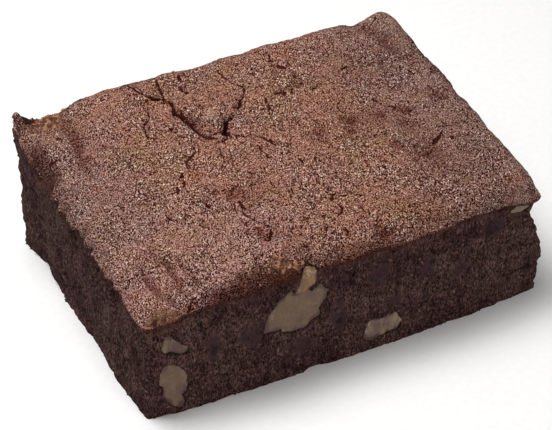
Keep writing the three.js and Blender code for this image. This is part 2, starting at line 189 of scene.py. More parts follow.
# Soft folds in the crust: (height, reach across, points x and y), mm. Those of negative height are creases.
FOLDS = (
    (-0.55, 0.9, ((-29.2, 26.5), (-29.4, 21.5), (-29.8, 18.0), (-31.1, 13.6), (-31.3, 9.0))),
    (0.3, 1.3, ((-32.4, 22.5), (-33.0, 18.0), (-33.8, 13.0))),
    (0.35, 0.4, ((-35.1, 25.0), (-34.9, 22.0), (-35.4, 19.0), (-36.2, 16.3), (-36.8, 14.0))),
    (-0.65, 0.6, ((-32.9, -15.0), (-33.0, -19.9), (-32.6, -23.0), (-31.8, -25.4))),
    (0.45, 0.7, ((-31.6, -13.0), (-31.4, -19.0), (-30.8, -24.6))),
    (-0.5, 0.6, ((-29.8, -14.0), (-29.1, -21.1), (-28.6, -25.4))),
    (0.4, 0.8, ((-34.8, -6.0), (-34.9, -12.0), (-34.6, -20.0))),
    (-0.4, 0.6, ((-27.2, -18.0), (-26.6, -23.0), (-26.0, -26.4))),
    (-1.1, 0.8, ((-35.3, 27.6), (-34.9, 26.4), (-34.7, 25.2))),
    (-0.4, 0.8, ((31.4, 24.0), (32.0, 19.3), (32.5, 14.6), (33.2, 10.5))),
    (0.35, 0.8, ((34.0, 23.0), (34.5, 17.0), (35.2, 11.0))),
)
# Single lumps and hollows in the crust: (middle x, middle y, reach x, reach y, height), mm
LUMPS = (
    (34.6, 25.0, 1.8, 2.2, 0.7), (30.4, 26.0, 2.0, 3.0, -1.0), (37.0, 1.5, 1.6, 2.4, 0.6),
    (-6.6, 11.2, 1.3, 1.5, 0.55), (-9.4, 10.6, 1.4, 2.6, -0.8),
)

# Where torn crumbs lie on the crust: middle, reach along and across in mm, and how many
TORN = (
    ((-34.4, 24.8), (0.8, 1.8), 30),
    ((-31.0, 26.4), (1.9, 1.2), 60),
    ((-32.6, 24.6), (1.6, 1.5), 60),
    ((-12.6, -26.2), (1.9, 1.0), 44),
    ((-9.9, -26.9), (0.9, 0.5), 22),
)

# Dark smooth smears that the knife left on the front face: (along, height, reach along, reach up), mm
SMEARS = (
    (5.6, 16.6, 1.9, 3.2), (21.2, 11.2, 1.9, 2.2), (9.8, 8.6, 2.0, 1.6),
    (28.2, 17.2, 2.2, 1.2), (-1.8, 9.6, 1.3, 3.6), (-9.6, 5.4, 2.6, 2.2),
    (-18.6, 12.2, 2.2, 3.0), (-25.4, 11.6, 1.8, 2.6), (15.4, 14.6, 1.2, 2.0),
)

# Cut faces: direction along each one, seen from outside, and the direction outwards
FACES = {
    "front": np.array([(1.0, 0.0, 0.0), (0.0, -1.0, 0.0)]),
    "right": np.array([(0.0, 1.0, 0.0), (1.0, 0.0, 0.0)]),
    "back": np.array([(-1.0, 0.0, 0.0), (0.0, 1.0, 0.0)]),
}
# Each walnut piece: its cut face, how light and how rich in colour its meat is, how much crumb is smeared
# over it, and what the crumb leaves bare of it, as points (along the face, height) in mm
WALNUTS = {
    "walnut_front_large": (
        "front", 0.63, 1.05, 0.06,
        ((-16.5, 11.1), (-15.9, 12.4), (-15.3, 15.0), (-14.2, 16.3), (-12.6, 18.2), (-11.0, 18.8),
         (-8.2, 18.5), (-6.7, 18.8), (-4.4, 17.6), (-3.8, 16.5), (-4.4, 14.7), (-5.7, 12.8), (-5.5, 11.6),
         (-7.4, 10.8), (-7.9, 10.0), (-9.0, 9.6), (-11.8, 10.0), (-13.1, 10.2), (-13.3, 10.9),
         (-15.4, 11.3)),
    ),
    "walnut_front_chip": (
        "front", 1.13, 1.2, 0.16,
        ((-9.5, 20.2), (-8.8, 21.4), (-8.5, 22.4), (-7.5, 22.3), (-6.6, 22.0), (-6.1, 21.2), (-6.3, 19.8),
         (-6.9, 18.7), (-8.0, 17.8), (-9.5, 17.4), (-10.9, 17.5), (-10.1, 19.1)),
    ),
    "walnut_front_low": (
        "front", 1.0, 0.83, 0.3,
        ((2.7, 4.1), (3.2, 5.7), (4.1, 6.6), (6.7, 6.4), (9.1, 6.6), (10.2, 5.2), (10.6, 4.2), (9.2, 2.7),
         (7.6, 2.9), (6.8, 2.5), (4.1, 2.1), (2.9, 2.9)),
    ),
    "walnut_corner_upper": (
        "front", 0.66, 0.95, 0.42,
        ((-34.9, 14.6), (-34.1, 16.9), (-32.8, 16.6), (-32.0, 15.6), (-30.8, 14.2), (-29.9, 13.8),
         (-30.1, 12.7), (-31.0, 12.4), (-32.2, 12.9), (-33.3, 13.7), (-34.4, 13.6)),
    ),
    "walnut_corner_lower": (
        "front", 0.65, 1.0, 0.12,
        ((-35.5, 9.3), (-35.0, 10.6), (-33.8, 11.3), (-32.2, 10.9), (-30.9, 9.0), (-30.4, 7.6), (-30.3, 5.3),
         (-30.8, 4.1), (-31.5, 3.9), (-31.0, 2.2), (-31.4, 1.0), (-32.8, 1.4), (-33.7, 2.5), (-34.8, 4.6),
         (-34.9, 6.6), (-35.7, 7.6)),
    ),
    "walnut_right_tip": (
        "front", 0.8, 0.9, 0.1,
        ((31.8, 19.7), (33.2, 20.3), (35.9, 20.0), (36.1, 19.3), (34.6, 18.7), (32.2, 19.0)),
    ),
    "walnut_right_side": (
        "right", 0.7, 0.95, 0.15,
        ((-11.3, 8.7), (-10.9, 10.2), (-9.9, 10.9), (-9.4, 12.4), (-8.0, 12.1), (-6.9, 12.7), (-5.0, 12.4),
         (-4.4, 11.0), (-3.4, 10.4), (-4.3, 9.2), (-4.6, 7.9), (-6.2, 7.9), (-7.3, 6.9), (-8.6, 7.4),
         (-9.6, 7.0)),
    ),
    "walnut_back_large": (
        "back", 0.72, 1.0, 0.1,
        ((6.8, 13.2), (7.6, 14.6), (8.9, 15.3), (9.3, 16.9), (11.2, 16.5), (12.9, 17.0), (14.9, 16.5),
         (15.3, 15.1), (17.1, 14.1), (16.4, 12.6), (15.1, 12.1), (14.7, 10.8), (12.6, 11.2), (11.4, 10.4),
         (9.8, 10.8), (9.1, 12.0), (7.7, 12.2)),
    ),
    "walnut_back_low": (
        "back", 0.66, 0.9, 0.25,
        ((-22.3, 6.1), (-21.2, 6.9), (-20.6, 8.2), (-19.3, 7.9), (-18.1, 8.3), (-16.8, 7.6), (-16.6, 6.5),
         (-15.7, 5.6), (-16.8, 4.7), (-17.8, 3.9), (-19.4, 4.3), (-20.8, 4.0), (-21.3, 5.0)),
    ),
}
OVERLAP = 1.06  # how much larger than its bare part a walnut's cut side is, under the crumb's ragged edge
CHIP = "walnut_front_chip"  # the piece that breaks the crust's edge
FAR = 9.0  # a share that is well outside a walnut's cut side or a pore

# Sizes of the flakes and crumbs, smallest and largest, mm
FLAKE_SIZES = (0.1, 0.38)
CRUMB_SIZES = (0.16, 0.42)
TORN_SIZES = (0.16, 0.5)

# Camera: lens and sensor, and the picture's middle right of and above the slice's, mm
LENS, SENSOR, AIM = 150, 36, (-0.13, 8.81)
# Soft lights: name, share of the key light's power, width in m, place in m
SOFT_BOXES = (
    ("soft_box_left", 1.0, 0.2, (-0.1, 0.08, 0.38)),
    ("soft_box_front", 0.75, 0.5, (0.08, -0.64, 0.24)),
)


def linear(hex_colour):
    """sRGB hex to linear RGBA."""
    parts = [int(hex_colour[i : i + 2], 16) / 255 for i in (1, 3, 5)]
    return tuple(c / 12.92 if c <= 0.04045 else ((c + 0.055) / 1.055) ** 2.4 for c in parts) + (1.0,)


def mix(a, b, t):
    return a + (b - a) * t


def bump(t, centre, reach):
    return np.exp(-(((t - centre) / reach) ** 2))


def smooth(low, high, t):
    s = np.clip((t - low) / (high - low), 0, 1)
    return s * s * (3 - 2 * s)


def flat_points(x, y):
    return np.stack([x, y, np.zeros_like(x)], -1)


def lattice(i, j, k):
    s = np.sin(i * 127.1 + j * 311.7 + k * 74.7) * 43758.5453
    return s - np.floor(s)


def noise(x, y, z):
    """Value noise from -1 to 1, about one swell each unit."""
    x, y, z = np.broadcast_arrays(np.asarray(x, float), np.asarray(y, float), np.asarray(z, float))
    i, j, k = np.floor(x), np.floor(y), np.floor(z)
    a, b, c = (t * t * (3 - 2 * t) for t in (x - i, y - j, z - k))
    rows = [
        mix(lattice(i, j + dj, k + dk), lattice(i + 1, j + dj, k + dk), a) for dk in (0, 1) for dj in (0, 1)
    ]
    return 2 * mix(mix(rows[0], rows[1], b), mix(rows[2], rows[3], b), c) - 1


def swells(points, size, seed):
    """Noise at points in mm, with swells of a size in mm, its axes turned so that no grid shows."""
    x, y, z = points.T
    a = (0.82 * x + 0.51 * y + 0.26 * z) / size
    b = (-0.46 * x + 0.85 * y - 0.24 * z) / size
    c = (-0.34 * x + 0.08 * y + 0.93 * z) / size
    return noise(a + seed * 7.7, b + seed * 3.1, c - seed * 5.3)


def unevenness(points, seed, *layers):
    """A sum of swells, each layer with its height and its size in mm. The seeds count up from the first."""
    return sum(height * swells(points, size, seed + i) for i, (height, size) in enumerate(layers))


def scattered_cells(points, size, seed):
    """Distance to the nearest of points strewn one to a cell, as a share of a cell, and that cell's value."""
    cells = np.floor(points / size)
    best = np.full(len(points), FAR)
    value = np.zeros(len(points))
    for step in np.ndindex(3, 3, 3):
        i, j, k = (cells + np.array(step) - 1).T
        strewn = lattice(i + seed, j, k), lattice(i, j + seed, k + 5), lattice(i + 9, j, k + seed)
        away = np.linalg.norm(points / size - (np.stack([i, j, k], -1) + np.stack(strewn, -1)), axis=1)
        nearer = away < best
        best = np.where(nearer, away, best)
        value = np.where(nearer, lattice(i + 3, j + seed, k + 1), value)
    return best, value


def open_pores(points, size, seed, reach, share):
    """Pores of a size in mm strewn through the crumb: how deep in one each point lies, from 0 to 1."""
    away, value = scattered_cells(points, size, seed)
    return smooth(*reach, away) * smooth(*share, value)


# The slice's form, as in its solids but for the blunt corner at the back right
def between_corners(heights, across, back):
    front = mix(heights["front_left"], heights["front_right"], across)
    rear = mix(heights["back_left"], heights["back_right"], across)
    return mix(front, rear, back)


def plate_base(x, y):
    return between_corners(PLATE, (x / HALF_LENGTH + 1) / 2, (y / HALF_DEPTH + 1) / 2)


def plate_height(x, y):
    back = (y / HALF_DEPTH + 1) / 2
    dome = DOME * (1 - (x / HALF_LENGTH) ** 4) * mix(0.25, 1, back)
    valley = 1.5 * bump(x, -31, 4) * bump(y, 27, 10)
    knob = 1.9 * bump(x, 36.5, 3.2) * bump(y, 22, 7)
    swell = 0.9 * bump(x, -19, 10) * back
    return plate_base(x, y) + dome + swell - valley + knob + soft_dents(x, y) + broken_plate(x, y)


def soft_dents(x, y):
    return (
        -0.7 * bump(x, 16, 3) * bump(y, 0.5, 3.5)
        - 0.7 * bump(x, 24, 3.5) * bump(y, -4, 3)
        - 0.6 * bump(x + y, -52, 3.5) * bump(x, -24, 9)
        + 0.45 * noise(x / 9, y / 9, 3.5)
    )


def broken_plate(x, y):
    inside = smooth(-11.6, -9.8, x + 0.2 * (y - 10)) * smooth(1.4, -0.6, x - 0.85 * (y - 14.2))
    return inside * (0.7 * bump(y, 16.2, 2.6) - 1.3 * bump(y, 9.6, 3.4))


def rim_height(x, y):
    across = (x / HALF_LENGTH + 1) / 2
    v = y / HALF_DEPTH
    back = mix(smooth(0.52, 1, v), (v + 1) / 2, across)
    droop = 1.8 * bump(x, -35, 8) * bump(y, -27, 12) + 1.3 * bump(x, 36, 5) * bump(y, -27, 4)
    lip = 3.1 * bump(x, -36.8, 2.4) * bump(y, 27.5, 6)
    return between_corners(RIM, across, back) - droop + lip + 0.25 * noise(x / 3, y / 3, 8.5)


def top_height(x, y):
    reach_x = np.where(x > 0, SHOULDER["right"], SHOULDER["left"])
    reach_y = np.where(y > 0, SHOULDER["back"], SHOULDER["front"])
    ex = np.clip(1 - (HALF_LENGTH - np.abs(x)) / reach_x, 0, 1)
    ey = np.clip(1 - (HALF_DEPTH - np.abs(y)) / reach_y, 0, 1)
    edge = np.minimum(1, (ex**3 + ey**3) ** (1 / 3))
    return mix(rim_height(x, y), plate_height(x, y), np.sqrt(1 - edge * edge))


# How far each cut face stands out, mm, at a place along it and a share of its height
def front_out(t, w):
    return (
        0.35
        + 1.05 * (1 - np.abs(t / HALF_LENGTH) ** 3) * (1 - 0.35 * w)
        - 0.6 * bump(t, -6.5, 2.5) * (1 - w) ** 3
        - 0.55 * bump(w, 0.86, 0.09)
    )


def back_out(t, w):
    return 0.7 * (1 - (t / HALF_LENGTH) ** 2) + 0.3 * bump(w, 0.4, 0.3) - 0.5 * bump(w, 0.88, 0.09)


def left_out(t, w):
    return (
        (0.6 * bump(t, -17, 7) - 0.9 * bump(t, 19, 4)) * (1 - w) ** 2
        + 0.6 * smooth(0.6, 0.9, w) * smooth(12, 24, t)
        + 0.35 * smooth(18, 26, np.abs(t))
        - 0.55 * bump(w, 0.84, 0.09) * (1 - smooth(10, 20, t))
    )


def right_out(t, w):
    return 1.4 * bump(w, 0.28, 0.32) - mix(1.2, 0.5, smooth(-27, -12, t)) * bump(w, 0.82, 0.08) + 0.5


def crag(x, y, z):
    broad = noise(x / 5, y / 5, z / 4)
    fine = noise(x / 2.2 + 40, y / 2.2, z / 2.2)
    pit = smooth(0.3, 0.85, noise(x / 3.4, y / 3.4 + 20, z / 3))
    return 0.3 * broad + 0.18 * fine - 0.55 * pit


def outwards(u, v):
    """Direction away from the middle of the slice, square to the cut faces and slanting at the corners."""
    return flat_points(np.sign(u) * np.abs(u) ** 5, np.sign(v) * np.abs(v) ** 5)


def place(u, v, w, rough):
    """The slice's points at net points u, v (-1 to 1) and height shares w, with rough parts of the crags."""
    x, y = u * HALF_LENGTH, v * HALF_DEPTH
    blunt = bump(x, HALF_LENGTH, BLUNT_REACH) * bump(y, HALF_DEPTH, BLUNT_REACH) * smooth(0.7, 0.95, w)
    wear = CORNER_CUT * (np.abs(u) * np.abs(v)) ** 6 + BLUNT_CORNER * blunt
    z = w * top_height(x, y)
    jut = crag(x, y, z) * rough - wear
    out_x = np.where(u > 0, right_out(y, w), left_out(y, w)) + jut
    out_y = np.where(v > 0, back_out(x, w), front_out(x, w)) + jut
    return np.stack([x, y, z], -1) + outwards(u, v) * flat_points(out_x, out_y)


# Meshes. Points are in mm from the middle of the form, apart from those of a net that is still to be shaped.
def read_vectors(items, name):
    flat = np.empty(len(items) * 3, np.float32)
    items.foreach_get(name, flat)
    return flat.reshape(-1, 3).astype(float)


def read_net(piece):
    return read_vectors(piece.data.vertices, "co")


def read_normals(piece):
    return read_vectors(piece.data.vertex_normals, "vector")


def read_points(piece):
    return read_net(piece) / MM - CENTRING


def write_points(piece, points):
    piece.data.vertices.foreach_set("co", ((points + CENTRING) * MM).astype(np.float32).ravel())
    piece.data.update()


def write_shares(piece, shares):
    """Stores numbers by name at each vertex, most of them from 0 to 1, for the materials to read."""
    for name, values in shares.items():
        layer = piece.data.attributes.new(name, "FLOAT", "POINT")
        layer.data.foreach_set("value", values.astype(np.float32))


def start_clean():
    if bpy.context.object and bpy.context.object.mode != "OBJECT":
        bpy.ops.object.mode_set(mode="OBJECT")
    bpy.ops.object.select_all(action="DESELECT")


def pick(piece):
    start_clean()
    piece.select_set(True)
    bpy.context.view_layer.objects.active = piece


def extrude_rim(count, step):
    """Extrudes the active mesh's open edge count times, closes its end and turns its faces outwards."""
    bpy.ops.object.mode_set(mode="EDIT")
    bpy.ops.mesh.select_mode(type="EDGE")
    bpy.ops.mesh.select_all(action="DESELECT")
    bpy.ops.mesh.select_non_manifold(
        use_wire=False, use_multi_face=False, use_non_contiguous=False, use_verts=False
    )
    for _ in range(count):
        bpy.ops.mesh.extrude_edges_move(TRANSFORM_OT_translate={"value": (0, 0, step)})
    bpy.ops.mesh.edge_face_add()
    bpy.ops.mesh.select_all(action="SELECT")
    bpy.ops.mesh.normals_make_consistent(inside=False)
    bpy.ops.object.mode_set(mode="OBJECT")


def finish_piece(piece, name, material, node=None):
    piece.name = name
    piece.data.name = name
    piece.data.materials.clear()
    piece.data.materials.append(material)
    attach(piece, "root")
    if node:
        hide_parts(node)


def all_cracks():
    """Every crack, slit and pinhole of the crust as a width, a depth and a path."""
    slits = []
    for x, y, length, degrees, width in (*SLITS, *((x, y, *PINHOLE) for x, y in PINHOLES)):
        dx = length / 2 * math.cos(math.radians(degrees))
        dy = length / 2 * math.sin(math.radians(degrees))
        slits.append((width, 0.8 * width, ((x - dx, y - dy), (x + dx, y + dy))))
    return (*CRACKS, *slits, *((FINE_WIDTH, FINE_DEPTH, path) for path in FINE_CRACKS))


def patch_share(x, y, kind):
    """How deep in the patches of a kind each point lies, from 0 to 1, with ragged outlines."""
    points = flat_points(x, y)
    wander_x, wander_y = 0.5 * swells(points, 1.8, 91), 0.5 * swells(points, 1.8, 92)
    share = np.zeros_like(x)
    for px, py, reach in PATCHES[kind]:
        here = bump(x, px + wander_x * reach, reach) * bump(y, py + wander_y * reach, reach)
        share = np.maximum(share, here)
    return share


def path_distance(x, y, path):
    """How far each point is from a path, and how far along the path, as a share of its length."""
    path = np.array(path)
    lengths = np.hypot(*np.diff(path, axis=0).T)
    walked = 0.0
    best, along = np.full(len(x), np.inf), np.zeros(len(x))
    for start, end, length in zip(path[:-1], path[1:], lengths):
        dx, dy = (end - start) / length
        t = np.clip((x - start[0]) * dx + (y - start[1]) * dy, 0, length)
        away = np.hypot(x - start[0] - dx * t, y - start[1] - dy * t)
        along = np.where(away < best, (walked + t) / lengths.sum(), along)
        best = np.minimum(best, away)
        walked += length
    return best, along


def crack_depths(x, y):
    """Depth of the cracks in mm, how near each point is to one's middle, and how near to a raised lip."""
    points = flat_points(x, y)
    shift_x = CRACK_WANDER * unevenness(points, 1, (1, 1.6), (0.5, 0.7))
    shift_y = CRACK_WANDER * unevenness(points, 3, (1, 1.6), (0.5, 0.7))
    wide_noise = 1 + unevenness(points, 5, (0.45, 1.3), (0.45, 0.6))
    depth, near, lip = np.zeros((3, len(x)))
    for width, deep, path in all_cracks():
        away, along = path_distance(x + shift_x, y + shift_y, path)
        strength = 0.25 + 0.75 * np.sin(np.pi * np.clip(along, 0, 1)) ** 0.6
        half = width / 2 * strength * np.maximum(wide_noise, 0.6 * min(1, width))
        share = np.clip(1 - away / (half + 0.08), 0, 1)
        depth = np.maximum(depth, deep * strength * share**0.7)
        near = np.maximum(near, np.clip(1.1 - away / (half + 0.16), 0, 1) * min(1, 0.7 + 0.3 * deep))
        lip = np.maximum(lip, deep * bump(away, half * 1.5, 0.45))
    return depth, near, lip


def soft_folds(x, y):
    """Height of the crust's folds and lumps in mm, and how deep in a crease each point lies, from 0 to 1."""
    points = flat_points(x, y)
    wander_x, wander_y = 0.5 * swells(points, 2.6, 7), 0.5 * swells(points, 2.6, 8)
    height, crease = np.zeros((2, len(x)))
    for tall, reach, path in FOLDS:
        away, along = path_distance(x + wander_x, y + wander_y, path)
        share = bump(away, 0, reach) * np.sin(np.pi * np.clip(along, 0.08, 0.92)) ** 0.5
        height += tall * share
        crease = np.maximum(crease, share * (tall < 0))
    for px, py, reach_x, reach_y, tall in LUMPS:
        height += tall * bump(x, px, reach_x) * bump(y, py, reach_y)
    return height, crease


def crackle(x, y):
    """Hairline crackle of a dried sugar crust: the seams between plates, many of them healed."""
    points = flat_points(x, y)
    warped = points + 1.3 * flat_points(swells(points, 3.4, 71), swells(points, 3.4, 72))
    warped += 0.35 * flat_points(swells(points, 0.9, 73), swells(points, 0.9, 74))
    first, second = seam_distances(warped / CRACKLE_PLATE)
    seam = (second - first) * CRACKLE_PLATE / 2
    alive = smooth(-0.35, 0.15, swells(points, 6.5, 75)) * smooth(-0.2, 0.3, swells(points, 1.1, 76))
    return smooth(0.24, 0.0, seam) * alive


def seam_distances(cells):
    """Distances to the nearest and the next nearest of points strewn one to a cell of a flat net."""
    i0, j0 = np.floor(cells[:, 0]), np.floor(cells[:, 1])
    found = []
    for di, dj in np.ndindex(3, 3):
        i, j = i0 + di - 1, j0 + dj - 1
        found.append(np.hypot(cells[:, 0] - i - lattice(i, j, 31), cells[:, 1] - j - lattice(i, j, 57)))
    return np.sort(np.array(found), axis=0)[:2]


class Kernel:
    """A walnut piece's cut side, read from its solid: the outline about its middle, and its plane."""

    def __init__(self, node):
        self.face, *self.look, self.bare = WALNUTS[node]
        self.along, self.out = FACES[self.face]
        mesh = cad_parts[node].data
        points = [
            np.array(mesh.vertices[i].co) / MM - CENTRING
            for polygon in mesh.polygons
            if np.dot(np.array(polygon.normal), self.out) > 0.9
            for i in polygon.vertices
        ]
        points = np.unique(np.round(np.array(points), 3), axis=0)
        t, z, out = points @ self.along, points[:, 2], points @ self.out
        self.plane = np.linalg.lstsq(np.stack([np.ones_like(t), t, z], -1), out, rcond=None)[0]
        self.middle = np.array([t.mean(), z.mean()])
        t, z = self.from_middle(points)
        radius = np.hypot(t, z)
        edge = radius > 0.35 * radius.max()
        turn = np.arctan2(z, t)[edge]
        order = np.argsort(turn)
        self.turns, self.radii = turn[order], radius[edge][order]

    def from_middle(self, points):
        """How far the points lie from the middle of the cut side, along the face and upwards."""
        return points @ self.along - self.middle[0], points[:, 2] - self.middle[1]

    def height(self, points):
        """How far the cut side stands out from the middle of the slice."""
        return self.plane[0] + self.plane[1] * (points @ self.along) + self.plane[2] * points[:, 2]

    def share(self, points):
        """0 at the middle of the solid's cut side and 1 at its outline."""
        t, z = self.from_middle(points)
        return np.hypot(t, z) / np.interp(np.arctan2(z, t), self.turns, self.radii, period=2 * np.pi)

    def bare_share(self, points):
        """The same for the part that the crumb leaves bare, its outline made of straight edges."""
        t, z = self.from_middle(points)
        corners = np.array(self.bare) - self.middle
        share = np.zeros(len(points))
        for start, end in zip(corners, np.roll(corners, -1, axis=0)):
            across = np.array([start[1] - end[1], end[0] - start[0]])
            towards = (t * across[0] + z * across[1]) / (start @ across)
            turned = start[0] * end[1] - start[1] * end[0]
            before = (start[0] * z - start[1] * t) * turned >= 0
            after = (t * end[1] - z * end[0]) * turned >= 0
            share = np.where(before & after & (towards > 0), towards, share)
        return np.where(share > 0, share, FAR)

    def fitted(self, points):
        """The points drawn in or out near the cut side, to fill the part that the crumb leaves bare."""
        near = smooth(2.0, 0.4, self.height(points) - points @ self.out)
        stretch = mix(1, OVERLAP * self.share(points) / self.bare_share(points), near) - 1
        t, z = self.from_middle(points)
        return points + np.outer(t * stretch, self.along) + np.outer(z * stretch, (0, 0, 1))


def crust_looks(x, y, inside, drops, shown):
    """Where the crust is dark, toasted, pale or dull, with painted shade on its rolled edge and outer slope
    and a painted sheen along its right edge. Inside is the distance in from its edge, in mm.
    """
    flat = flat_points(x, y)
    near_front = smooth(-21, -25, y)
    # The band along the crust's rolled edge: its own darker red-brown, and painted shade where it turns down
    edge = smooth(2.4 + 1.2 * near_front, 0.0, inside + 0.9 * swells(flat, 2.6, 83)) * shown
    edge *= (1 - bump(x, -37, 4) * bump(y, 27, 9)) * mix(1, 0.35, smooth(0, 14, x) * near_front)
    edge *= mix(0.45, 1, smooth(-36, -33, x))
    turned_under = 0.4 * smooth(-29, -22, x) * smooth(-4, -9, x) + 0.1 * smooth(-9, -4, x)
    rim = smooth(0, 1.3, drops) + mix(0.5, 0.35 + turned_under, near_front) * edge
    beside_lip = smooth(-28, -31, x)
    rim += 0.5 * smooth(21.8, 24.5, y) * smooth(-36, -35, x) * beside_lip
    toast = 0.95 * bump(x, -12.2, 3.2) * bump(y, -26.9, 1.7) + 0.9 * bump(x, -34.8, 3.2) * bump(y, -27, 1.3)
    toast += 0.5 * bump(y, 27, 1.6) * bump(x, -22, 5)
    toast += smooth(21.8, 24.5, y + 0.8 * swells(flat, 1.5, 87)) * smooth(-36.5, -35, x) * beside_lip
    pale = bump(x, -6.1, 1.2) * bump(y, 12.2, 1.2)
    # A painted sheen along the crust's right edge, laid over its crystals
    pale += 0.4 * smooth(30, 35, x) * smooth(-0.2, 0.4, swells(flat, 3, 28))
    # Painted shade on the outer slope of the back left corner, which faces away from the light
    flank = smooth(-35.0, -36.0, x + 0.5 * swells(flat, 2.2, 86)) * smooth(8, 13, y)
    flank *= mix(0.3, 1, smooth(21.5, 17.5, y)) * smooth(29, 26, y)
    return {
        "rim": np.clip(rim, 0, 1) * (1 - 0.65 * bump(x, -38, 2.5) * bump(y, 27, 5)),
        "toast": np.clip(toast, 0, 1),
        "pale": np.clip(pale, 0, 1),
        "flank": flank * shown,
        "ruddy": 0.5 + 0.5 * (patch_share(x, y, "ruddy") - patch_share(x, y, "olive")),
        "calm": patch_share(x, y, "calm"),
        "dusky": patch_share(x, y, "dusky"),
        "outer": smooth(14, 34, np.abs(x + 2 + 3 * swells(flat, 12, 84))),
        "frost": smooth(-6, -16, y) * smooth(2, -12, x + 3 * swells(flat, 9, 85)),
    }


def add_crust(step, material):
    """The crust: a fine grid, its edge extruded down over the crumb, shaped by the form and by relief."""
    start_clean()
    along, across = round(LENGTH / step), round(DEPTH / step)
    bpy.ops.mesh.primitive_grid_add(x_subdivisions=along, y_subdivisions=across, size=2)
    lid = bpy.context.object
    extrude_rim(len(SKIRT), -1)
    net = read_net(lid)
    ring = np.round(-net[:, 2]).astype(int)
    top, shown = ring == 0, ring < len(SKIRT)
    u, v = np.clip(net[:, 0], -1, 1), np.clip(net[:, 1], -1, 1)
    x, y = u * HALF_LENGTH, v * HALF_DEPTH
    flat = flat_points(x, y)
    drops, inward = np.array([(0, 0), *SKIRT])[ring].T
    ragged = 1 + unevenness(flat, 11, (0.35, 4), (0.3, 1.4))
    drops = np.where(shown, drops * ragged, drops)
    points = place(u, v, 1 - drops / top_height(x, y), mix(0.35, 1, smooth(0, 1.2, drops)))
    overhang = 0.12 + 0.16 * swells(flat, 5, 13)
    points += outwards(u, v) * (overhang * ~top - inward)[:, None]
    points[~shown, 2] = plate_base(*points[~shown, :2].T) - LID_DEPTH

    inside = np.minimum(HALF_LENGTH - np.abs(x), HALF_DEPTH - np.abs(y))
    depth, near, lip = crack_depths(x, y)
    hairs = crackle(x, y) * smooth(0.3, 0.0, near)
    folds, crease = soft_folds(x, y)
    # Sunken patches and fold creases: sunk a little here, and given painted shade in the material
    dents_and_shade = np.maximum(patch_share(x, y, "dent"), 0.9 * crease)
    fade = smooth(0.0, 0.6, inside) * top
    points[:, 2] += (0.1 * np.minimum(lip, 1.2) - depth - 0.15 * hairs - 0.3 * dents_and_shade) * fade
    points[:, 2] += folds * shown

    # The edge that the walnut chip has broken away
    broken = smooth(1.04, 0.86, Kernel(CHIP).bare_share(points)) * (v < -0.5)
    points[:, 1] += 1.15 * broken * np.exp(-np.clip(inside, 0, None) / 1.6) * (ring < len(SKIRT) - 1)

    # Relief: broad unevenness, worm-like pores and grain
    write_points(lid, points)
    rough_here = 1 + 1.2 * bump(x, -11, 4) * bump(y, -26, 3) + bump(x, -7, 3) * bump(y, 11, 3)
    rough_here += 0.8 * smooth(1.5, 0.2, inside)
    uneven = unevenness(points, 20, (0.36, 5.5), (0.24, 3.2), (0.1, 1.9))
    uneven += 0.3 * swells(points * (1.0, 0.3, 1.0), 1.5, 81) * smooth(-18, -26, x) * smooth(10, -4, y)
    uneven += 0.55 * swells(points, 1.5, 82) * bump(x, -37, 2.2) * smooth(-24, -10, y)
    worm = np.abs(unevenness(points, 23, (1, 0.9), (0.5, 0.5)))
    pores = smooth(0.12, 0.0, worm) * smooth(0.15, 0.7, swells(points, 1.7, 25))
    pores = np.maximum(0.8 * pores, smooth(0.26, 0.1, scattered_cells(points, 1.3, 7)[0]))
    grain = unevenness(points, 26, (0.04, 0.6), (0.03, 0.42))
    relief = (0.8 * uneven + grain) * rough_here - 0.12 * pores
    write_points(lid, points + read_normals(lid) * (relief * shown)[:, None])

    # Painted shade along the foot of the step beside the sunken plate, carried in the crack share with the
    # cracks and the hairline crackle
    foot = path_distance(x, y, SHADED_PLATE_FOOT)[0] + 0.35 * swells(flat, 1.1, 88)
    crackle_and_painted_shade = np.maximum(0.75 * hairs, 0.6 * smooth(1.0, 0.2, foot))
    shares = {"crack": np.maximum(near, crackle_and_painted_shade) * top, "pore": pores, "dent": dents_and_shade}
    write_shares(lid, shares | crust_looks(x, y, inside, drops, shown))
    bpy.ops.object.shade_smooth()
    finish_piece(lid, "brownie_crust", material, "brownie")


def perimeter(points, along, across):
    """Net points u and v of a ring's vertices, laid round the slice from its front left, and their faces."""
    count = 2 * (along + across)
    turn = np.arctan2(points[:, 1], points[:, 0]) / (2 * np.pi)
    i = np.round(turn * count).astype(int) % count
    right, back, left = np.cumsum([along, across, along])
    side = np.digitize(i, (right, back, left))
    u = np.choose(side, [-1 + 2 * i / along, 1.0, 1 - 2 * (i - back) / along, -1.0])
    v = np.choose(side, [-1.0, -1 + 2 * (i - right) / across, 1.0, 1 - 2 * (i - left) / across])
    return u, v, side


